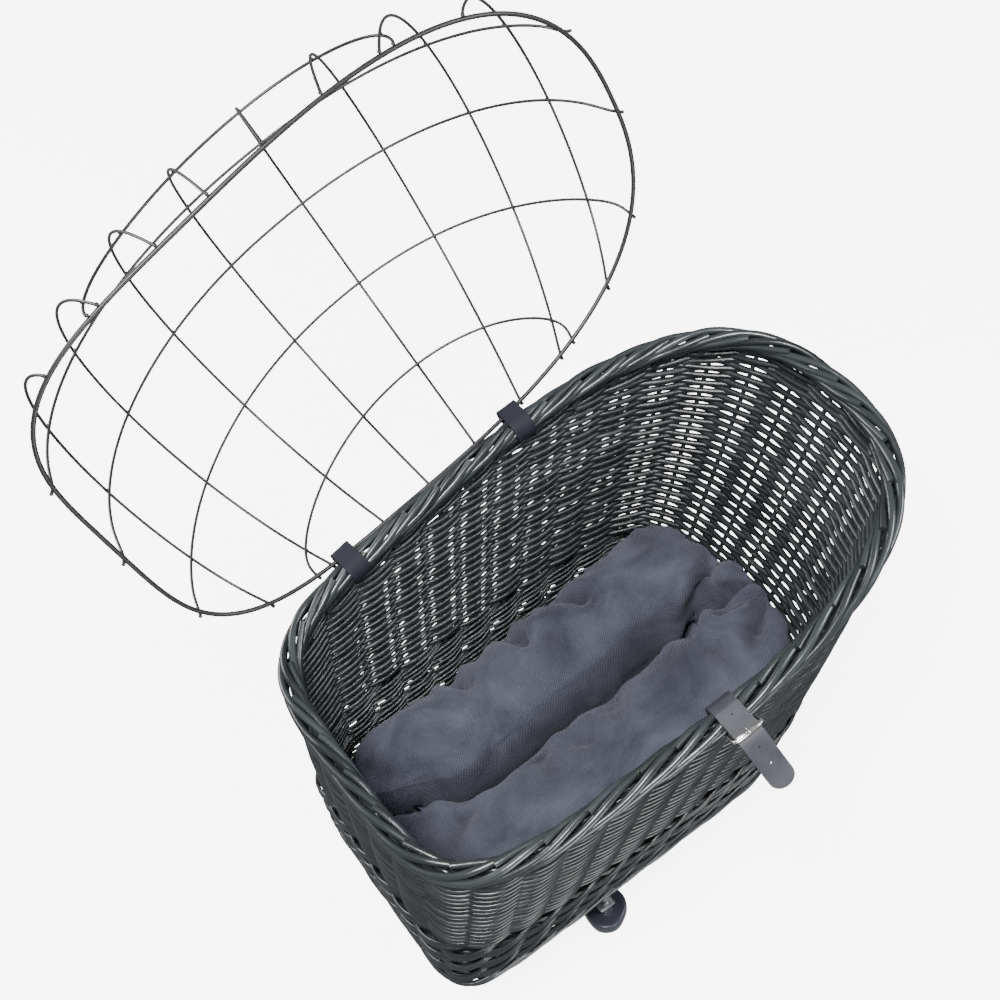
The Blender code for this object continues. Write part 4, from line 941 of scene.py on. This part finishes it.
def leather_strip(name, path, width, material, holes=(), tip=0.0):
    """A flat strip with holes and a rounded tip, laid along a path in the strap's own plane."""
    run = running_length(path)
    total = run[-1]
    outline = [(0.0, -width / 2), (0.0, width / 2)]
    if tip:
        for share in np.linspace(0, 1, 13):
            bulge = math.sin(share * math.pi) ** 0.9 if 0 < share < 1 else 0.0
            outline.append((total - tip + tip * bulge, (width / 2) * math.cos(share * math.pi)))
    else:
        outline += [(total, width / 2), (total, -width / 2)]
    bm = bmesh.new()
    loops = [outline]
    for share in holes:
        loops.append([
            (share * total + HOLE_RADIUS * math.cos(a), HOLE_RADIUS * math.sin(a))
            for a in np.linspace(0, 2 * math.pi, 20, endpoint=False)
        ])
    for loop in loops:
        verts = [bm.verts.new((x, y, 0.0)) for x, y in loop]
        for a, b in zip(verts, verts[1:] + verts[:1]):
            bm.edges.new((a, b))
    bmesh.ops.triangle_fill(bm, use_beauty=True, edges=bm.edges)
    for cut in np.arange(STRIP_STEP, total, STRIP_STEP):
        geometry = bm.verts[:] + bm.edges[:] + bm.faces[:]
        bmesh.ops.bisect_plane(bm, geom=geometry, plane_co=(cut, 0, 0), plane_no=(1, 0, 0))
    for vert in bm.verts:
        place = [np.interp(vert.co.x, run, path[:, k]) for k in (0, 1)]
        vert.co = Vector((vert.co.y, *place))
    bmesh.ops.recalc_face_normals(bm, faces=bm.faces)
    strip = bmesh_object(name, bm, material)
    modify(strip, "SOLIDIFY", thickness=LEATHER, offset=0.0)
    round_edges(strip, 0.00035, 2, 60)
    return strip


def belt(eye, eye_reach, start):
    """A closed loop round the border and an eye beside it, in the plane across the rim."""
    loop = []
    for k in range(49):
        angle = 2 * math.pi * k / 48 + math.radians(start)
        way = np.array((math.cos(angle), math.sin(angle)))
        border = way * (BORDER_RADIUS + FIT_GAP + LEATHER / 2)
        beside = eye + way * (eye_reach + LEATHER / 2)
        loop.append(tuple(border if np.dot(border, way) >= np.dot(beside, way) else beside))
    return strip_path(loop, 2)


def make_closing_strap():
    """The strap over the rim with its tail under the roller, the tab and the buckle."""
    frame_matrix = station_frame(border_station(STRAP_X, -1))
    radius = BORDER_RADIUS + 1.5 * LEATHER + 3 * FIT_GAP
    line = []
    sweep = 2 * math.pi + STRAP_START - math.pi / 2
    for k in range(25):
        angle = STRAP_START - sweep * k / 24
        line.append((radius * math.cos(angle), radius * math.sin(angle)))
    under = (BUCKLE_FRONT[0], BUCKLE_FRONT[1] - ROLLER_RADIUS - LEATHER / 2 - BUCKLE_LIFT)
    middle = ((line[-1][0] + under[0]) / 2, (line[-1][1] + under[1]) / 2)
    path = strip_path([*line, middle, under, *TAIL_POINTS], 3)
    strap = leather_strip(
        "strap_leather", path, STRAP_WIDTH, STRAP_LEATHER, holes=HOLE_SHARES, tip=TAIL_TIP,
    )
    around = belt(np.array(BUCKLE_HEEL), BUCKLE_WIRE_RADIUS + FIT_GAP, -60)
    tab = leather_strip("tab_leather", around, STRAP_WIDTH, STRAP_LEATHER)
    for piece, node in ((strap, "closing_strap"), (tab, "buckle_tab")):
        piece.matrix_world = frame_matrix
        dress(piece, "basket", node)
    refine("buckle_frame", NICKEL, 0.0, "buckle")
    refine("buckle_roller", NICKEL, 0.0003, "buckle")
    refine("buckle_prong", NICKEL, 0.0, "prong")


def make_hinge_straps():
    """The two straps round the border and the ring, each with its rivet."""
    middle, axis = hinge_axis()
    for name, station in zip(("hinge_strap_low", "hinge_strap_high"), hinge_stations()):
        matrix = station_frame(station)
        inverse = matrix.inverted()
        eye, way = inverse @ middle, inverse.to_3x3() @ axis
        spot = eye - way * (eye.x / way.x)
        around = belt(np.array((spot.y, spot.z)), RING_WIRE_RADIUS + HINGE_EYE_SLACK, -100)
        strap = leather_strip(f"{name}_leather", around, HINGE_STRAP_WIDTH, HINGE_LEATHER)
        strap.matrix_world = matrix
        dress(strap, "basket", name)
        refine(f"{name}_rivet", NICKEL, 0.0002, "basket")


# Cushion

CUSHION_SEAT = 0.0255
WALL_CLEAR = 0.0075         # from the wall's middle to the cushion
CUSHION_LOW_SETBACK = 0.008
CUSHION_HIGH_SETBACK = 0.112
CUSHION_TOP_LOW = 0.097
CUSHION_TOP_HIGH = 0.176
CUSHION_RISE_POWER = 2.6
CUSHION_END_POWER = 18.0
CUSHION_END_SHARE = 0.50
CUSHION_BASE_SHARE = 0.72   # of the top's width, at least
CUSHION_STATIONS = 24
CUSHION_VOXEL = 0.0045
CLOTH_INSET = 0.004         # taken off before the pillow is blown up
CLOTH_LIMIT = 0.012         # the furthest that blowing up moves it
FOLD_ALONG = 0.11           # place of the fold in the profile
FOLD_REACH = 0.8
FOLD_SINK = 0.24            # of the pillow's thickness
FOLD_PUSH = 0.040
FOLD_HALF_WIDTH = 0.007
CREASE_DEPTH, CREASE_WIDTH = 0.012, 0.006
CREASE_SHADE_WIDTH = 0.010
WAVE_HEIGHT = 0.0022
CUSHION_PROFILE = (         # shares of the half width and of the height, round the section
    (-0.91, 0.0), (-0.60, 0.0), (0.0, 0.0), (0.60, 0.0), (0.91, 0.0), (1.0, 0.09), (0.97, 0.36),
    (1.0, 0.64), (0.98, 0.84), (0.86, 0.95), (0.62, 1.05), (0.38, 1.05), (0.22, 0.96),
    (FOLD_ALONG, 0.84), (0.03, 0.95), (-0.12, 1.06), (-0.42, 1.09), (-0.76, 1.0), (-0.96, 0.84),
    (-1.0, 0.60), (-0.94, 0.36), (-1.0, 0.09),
)
VALLEY = np.array((         # the fold between the two lobes, in plan, in mm
    (-190, 75), (-150, 52), (-107, 30), (-70, 11), (-47, 9), (0, 12), (33, 15), (71, 12),
    (98, 11), (139, 10), (179, 12), (225, 4), (262, -10), (300, -40),
)) / 1000
TUCKS = np.array((          # short folds: both ends in plan, depth and width, in mm
    (-8, 126, -2, 100, 12, 8), (63, 128, 72, 105, 11, 8), (72, 105, 72, 87, 8, 9),
    (129, 118, 146, 93, 10, 9), (146, 93, 155, 69, 7, 10), (92, 81, 94, 51, 6, 11),
    (276, 30, 250, 14, 13, 9), (250, 14, 231, 5, 13, 9), (231, 5, 203, -17, 12, 9),
    (244, -25, 266, -34, 9, 8), (275, -51, 256, -66, 10, 9), (256, -66, 237, -79, 8, 10),
    (208, -54, 212, -89, 7, 11), (-140, 100, -122, 60, 6, 14), (-118, 34, -90, 52, 8, 12),
    (-86, -14, -112, -38, 7, 11), (10, -12, 4, -45, 5, 13), (50, -30, 64, -48, 4, 12),
    (108, -10, 94, -34, 5, 14),
)) / 1000
SWELLS = np.array((         # rises and dips of the top: place in plan, height and reach, in mm
    (-139, 116, 5, 34), (-69, 126, 10, 32), (140, 130, -6, 20), (262, 107, -7, 30),
    (290, 42, -26, 26), (272, -96, -5, 30),
)) / 1000
ROOM_LEVELS = 20
ROOMS = [                   # the wall's inner face, level by level
    positive_side(wall_line(level, -WALL_CLEAR))
    for level in np.linspace(0.0, 1.0, ROOM_LEVELS + 1)
]


def room_at(x, z):
    """Half the room between the walls at a place."""
    span = rim_height(x) - BORDER_RADIUS - FIT_GAP - WALL_LOW
    place = np.clip((z - WALL_LOW) / span, 0.0, 0.999) * ROOM_LEVELS
    k = int(place)
    low, high = (
        float(np.interp(x, face[:, 0], face[:, 1], left=0.0, right=0.0)) for face in ROOMS[k:k + 2]
    )
    return low + (high - low) * (place - k)


def cushion_section(share):
    """One closed section across the pillow before it is blown up."""
    low_x = RIM_STATION_X - RIM_LOW_REACH + CUSHION_LOW_SETBACK
    high_x = RIM_STATION_X + RIM_HIGH_REACH - CUSHION_HIGH_SETBACK
    x = low_x + (high_x - low_x) * share
    top = CUSHION_TOP_LOW + (CUSHION_TOP_HIGH - CUSHION_TOP_LOW) * share ** CUSHION_RISE_POWER
    bottom = CUSHION_SEAT
    while room_at(x, bottom) < CUSHION_BASE_SHARE * room_at(x, top) and bottom < top:
        bottom += 0.0005
    round_off = math.sqrt(max(1 - abs(2 * share - 1) ** CUSHION_END_POWER, 0.0))
    ending = max(round_off, CUSHION_END_SHARE)
    middle = (top + bottom) / 2
    section = []
    fold_y = float(np.interp(x, VALLEY[:, 0], VALLEY[:, 1]))
    for along, rise in CUSHION_PROFILE:
        z = bottom + (top - bottom) * rise
        z = middle + (z - middle) * ending
        if along == FOLD_ALONG:
            z -= (top - bottom) * FOLD_SINK * round_off
        width = room_at(x, z) * ending
        follow = max(1 - abs(along - FOLD_ALONG) / FOLD_REACH, 0.0) if rise > 0.7 else 0.0
        section.append((x, along * width + follow * (fold_y - FOLD_ALONG * width), z))
    return section


def segment_distance(points, first, second):
    """Distances from points in plan to a segment, and the places along it."""
    run = second - first
    share = np.clip(((points - first) @ run) / (run @ run), 0.0, 1.0)
    return np.linalg.norm(points - first - share[:, None] * run, axis=1), share


def mesh_array(source, key):
    data = np.empty(len(source) * 3)
    source.foreach_get(key, data)
    return data.reshape(-1, 3)


def vertex_array(mesh):
    return mesh_array(mesh.vertices, "co")


def set_vertices(mesh, points):
    mesh.vertices.foreach_set("co", np.asarray(points).ravel())
    mesh.update()


def keep_inside(points):
    """Keep the cloth off the walls and above its base."""
    for index, (x, y, z) in enumerate(points):
        limit = max(room_at(x, z), 0.001)
        if abs(y) > limit:
            points[index, 1] = math.copysign(limit, y)
    points[:, 2] = np.maximum(points[:, 2], CUSHION_SEAT + 0.0006)
    return points


def valley_distance(points):
    """How far each point in plan lies from the fold between the lobes."""
    far = np.full(len(points), 9.0)
    for first, second in zip(VALLEY, VALLEY[1:]):
        far = np.minimum(far, segment_distance(points, first, second)[0])
    return far


def make_cushion():
    """One long pillow folded into two lobes: blown up as cloth, then pulled into its folds."""
    verts, faces = [], []
    count = len(CUSHION_PROFILE)
    for k in range(CUSHION_STATIONS + 1):
        verts += cushion_section(0.5 - 0.5 * math.cos(math.pi * k / CUSHION_STATIONS))
    last = CUSHION_STATIONS * count
    for here in range(0, last, count):
        for i in range(count):
            j = (i + 1) % count
            faces.append((here + i, here + count + i, here + count + j, here + j))
    faces.append(tuple(range(count)))
    faces.append(tuple(range(last, last + count))[::-1])
    pillow = finish_mesh("cushion_pillow", verts, faces, CLOTH)
    modify(pillow, "REMESH", mode="VOXEL", voxel_size=CUSHION_VOXEL)
    modify(pillow, "SMOOTH", iterations=3)
    apply_modifiers(pillow)

    points = vertex_array(pillow.data)
    normals = mesh_array(pillow.data.vertex_normals, "vector")
    top = np.clip(normals[:, 2] * 2, 0.0, 1.0)
    far = valley_distance(points[:, :2])
    points[:, 2] -= top * FOLD_PUSH * np.exp(-(far / FOLD_HALF_WIDTH) ** 2)
    set_vertices(pillow.data, points - normals * CLOTH_INSET)
    inflate(pillow, far)
    set_vertices(pillow.data, keep_inside(vertex_array(pillow.data)))

    modify(pillow, "SUBSURF", levels=1, render_levels=1)
    apply_modifiers(pillow)
    pull_folds(pillow)
    pillow.data.materials.clear()
    pillow.data.materials.append(CLOTH)
    pillow.data.shade_smooth()
    dress(pillow, "basket", "cushion")


def inflate(pillow, far):
    """Blow the pillow up as cloth, with the fold between its lobes held down."""
    before = vertex_array(pillow.data)
    held = pillow.vertex_groups.new(name="held")
    for index in np.flatnonzero((far < 0.006) | (before[:, 2] < CUSHION_SEAT + 0.004)):
        held.add([int(index)], 1.0, "REPLACE")
    cloth = modify(pillow, "CLOTH")
    assign(
        cloth.settings, quality=5, mass=0.3, use_pressure=True, uniform_pressure_force=4.0,
        tension_stiffness=12.0, compression_stiffness=12.0, shear_stiffness=5.0,
        bending_stiffness=0.4, vertex_group_mass="held",
    )
    cloth.settings.effector_weights.gravity = 0.0
    frames = 20
    assign(cloth.point_cache, frame_start=1, frame_end=frames)
    scene = bpy.context.scene
    for step in range(1, frames + 1):
        scene.frame_set(step)
    evaluated = pillow.evaluated_get(bpy.context.evaluated_depsgraph_get())
    move = vertex_array(evaluated.data) - before
    size = np.linalg.norm(move, axis=1)
    share = np.minimum(1.0, CLOTH_LIMIT / np.maximum(size, 1e-9))
    pillow.modifiers.clear()
    scene.frame_set(1)
    set_vertices(pillow.data, before + move * share[:, None])


def pull_folds(pillow):
    """Tucks, the crease between the lobes and slow waves over the cloth, with their shading."""
    points = vertex_array(pillow.data)
    normals = mesh_array(pillow.data.vertex_normals, "vector")
    top = np.clip(normals[:, 2] * 1.6 + 0.2, 0.0, 1.0)
    plan = points[:, :2].copy()
    x, y = plan[:, 0], plan[:, 1]

    def bell(distance, width):
        return np.exp(-(distance / width) ** 2)

    far = valley_distance(plan)
    sink = CREASE_DEPTH * bell(far, CREASE_WIDTH)
    # Painted shade: darkness along the crease between the lobes, kept in fold_shade for the
    # cloth's colour.
    shade = bell(far, CREASE_SHADE_WIDTH)
    for *ends, depth, width in TUCKS:
        distance, share = segment_distance(plan, *np.reshape(ends, (2, 2)))
        fade = 1.0 - 0.6 * share
        sink += 1.7 * depth * fade * bell(distance, 0.95 * width)
        sink -= 0.45 * depth * fade * bell(distance - 2.3 * width, 1.2 * width)
        # Painted shade along each tuck, by its depth.
        dark = depth / CREASE_DEPTH * fade * bell(distance, 0.7 * width)
        shade = np.maximum(shade, dark)
    wave = np.sin(41 * x + 23 * y + 0.6) * np.sin(33 * y - 17 * x + 1.1)
    wave += 0.6 * np.sin(83 * x - 31 * y + 2.0) * np.sin(71 * y + 29 * x)
    wave += 0.35 * np.sin(150 * x + 90 * y + 0.3) * np.sin(140 * y - 60 * x + 2.2)
    sink -= WAVE_HEIGHT * wave
    layer = pillow.data.attributes.new("fold_shade", "FLOAT", "POINT")
    layer.data.foreach_set("value", shade * top)
    points -= (normals * top[:, None]) * sink[:, None]
    for *place, lift, reach in SWELLS:
        swell = lift * bell(np.linalg.norm(plan - place, axis=1), reach)
        points[:, 2] += swell * np.clip((points[:, 2] - 0.03) / 0.04, 0.0, 1.0)
    set_vertices(pillow.data, keep_inside(points))


def apply_modifiers(obj):
    """Turn an object's modifiers into its mesh."""
    bpy.context.view_layer.update()
    evaluated = obj.evaluated_get(bpy.context.evaluated_depsgraph_get())
    mesh = bpy.data.meshes.new_from_object(evaluated)
    obj.modifiers.clear()
    obj.data = mesh


make_wall()
make_borders()
make_floor()
make_clamp()
make_lid()
make_closing_strap()
make_hinge_straps()
make_cushion()


# Stage, light and camera

def make_stage():
    """A plain pale floor below the part. Its own light stays out of the part's reflections."""
    bm = bmesh.new()
    bmesh.ops.create_grid(bm, x_segments=1, y_segments=1, size=40.0)
    surface = Shader(
        "pale_floor_finish", Base_Color=(0.92, 0.92, 0.92), Roughness=0.9,
        Emission_Color=(1.0, 1.0, 1.0), Emission_Strength=5.5,
    )
    floor = bmesh_object("pale_floor", bm, surface.material, smooth=False)
    floor.location = (0.0, 0.0, cad_box[0].z - 0.0005)
    assign(floor, visible_diffuse=False, visible_glossy=False)


def area_light(name, place, aim, size, power, colour=(1.0, 1.0, 1.0)):
    data = bpy.data.lights.new(name, "AREA")
    assign(data, shape="DISK", size=size, energy=power, color=colour)
    obj = link_object(name, data)
    obj.location = place
    obj.rotation_mode = "QUATERNION"
    obj.rotation_quaternion = (Vector(aim) - Vector(place)).to_track_quat("-Z", "Y")


def make_light():
    world = bpy.data.worlds.new("studio")
    bpy.context.scene.world = world
    world.use_nodes = True
    sky = world.node_tree.nodes["Background"].inputs
    sky["Color"].default_value = (0.96, 0.98, 1.0, 1.0)
    sky["Strength"].default_value = 0.4
    area_light("key", (-0.6, -0.6, 2.6), (0.05, 0.0, 0.2), 0.7, 120.0)
    area_light("bounce", (-0.1, -1.7, 0.12), (0.05, -0.2, 0.16), 0.9, 26.0)
    area_light("back", (-0.9, 1.9, 1.1), (0.05, 0.1, 0.2), 1.2, 45.0)
    area_light("side", (1.6, -1.2, 1.5), (0.1, 0.0, 0.2), 0.9, 45.0, (0.95, 0.97, 1.0))


def make_camera():
    """The camera that was fitted to the photograph."""
    right = Vector((0.806974, -0.577349, -0.124346)).normalized()
    forward = Vector((0.259665, 0.535953, -0.803323)).normalized()
    up = right.cross(forward).normalized()
    data = bpy.data.cameras.new("camera")
    assign(data, sensor_width=36.0, lens=53.878, clip_start=0.05, clip_end=50.0)
    obj = link_object("camera", data)
    matrix = Matrix((right, up, -forward)).transposed().to_4x4()
    matrix.translation = Vector((-0.28287, -0.65143, 1.49371))
    obj.matrix_world = matrix
    bpy.context.scene.camera = obj


make_stage()
make_light()
make_camera()
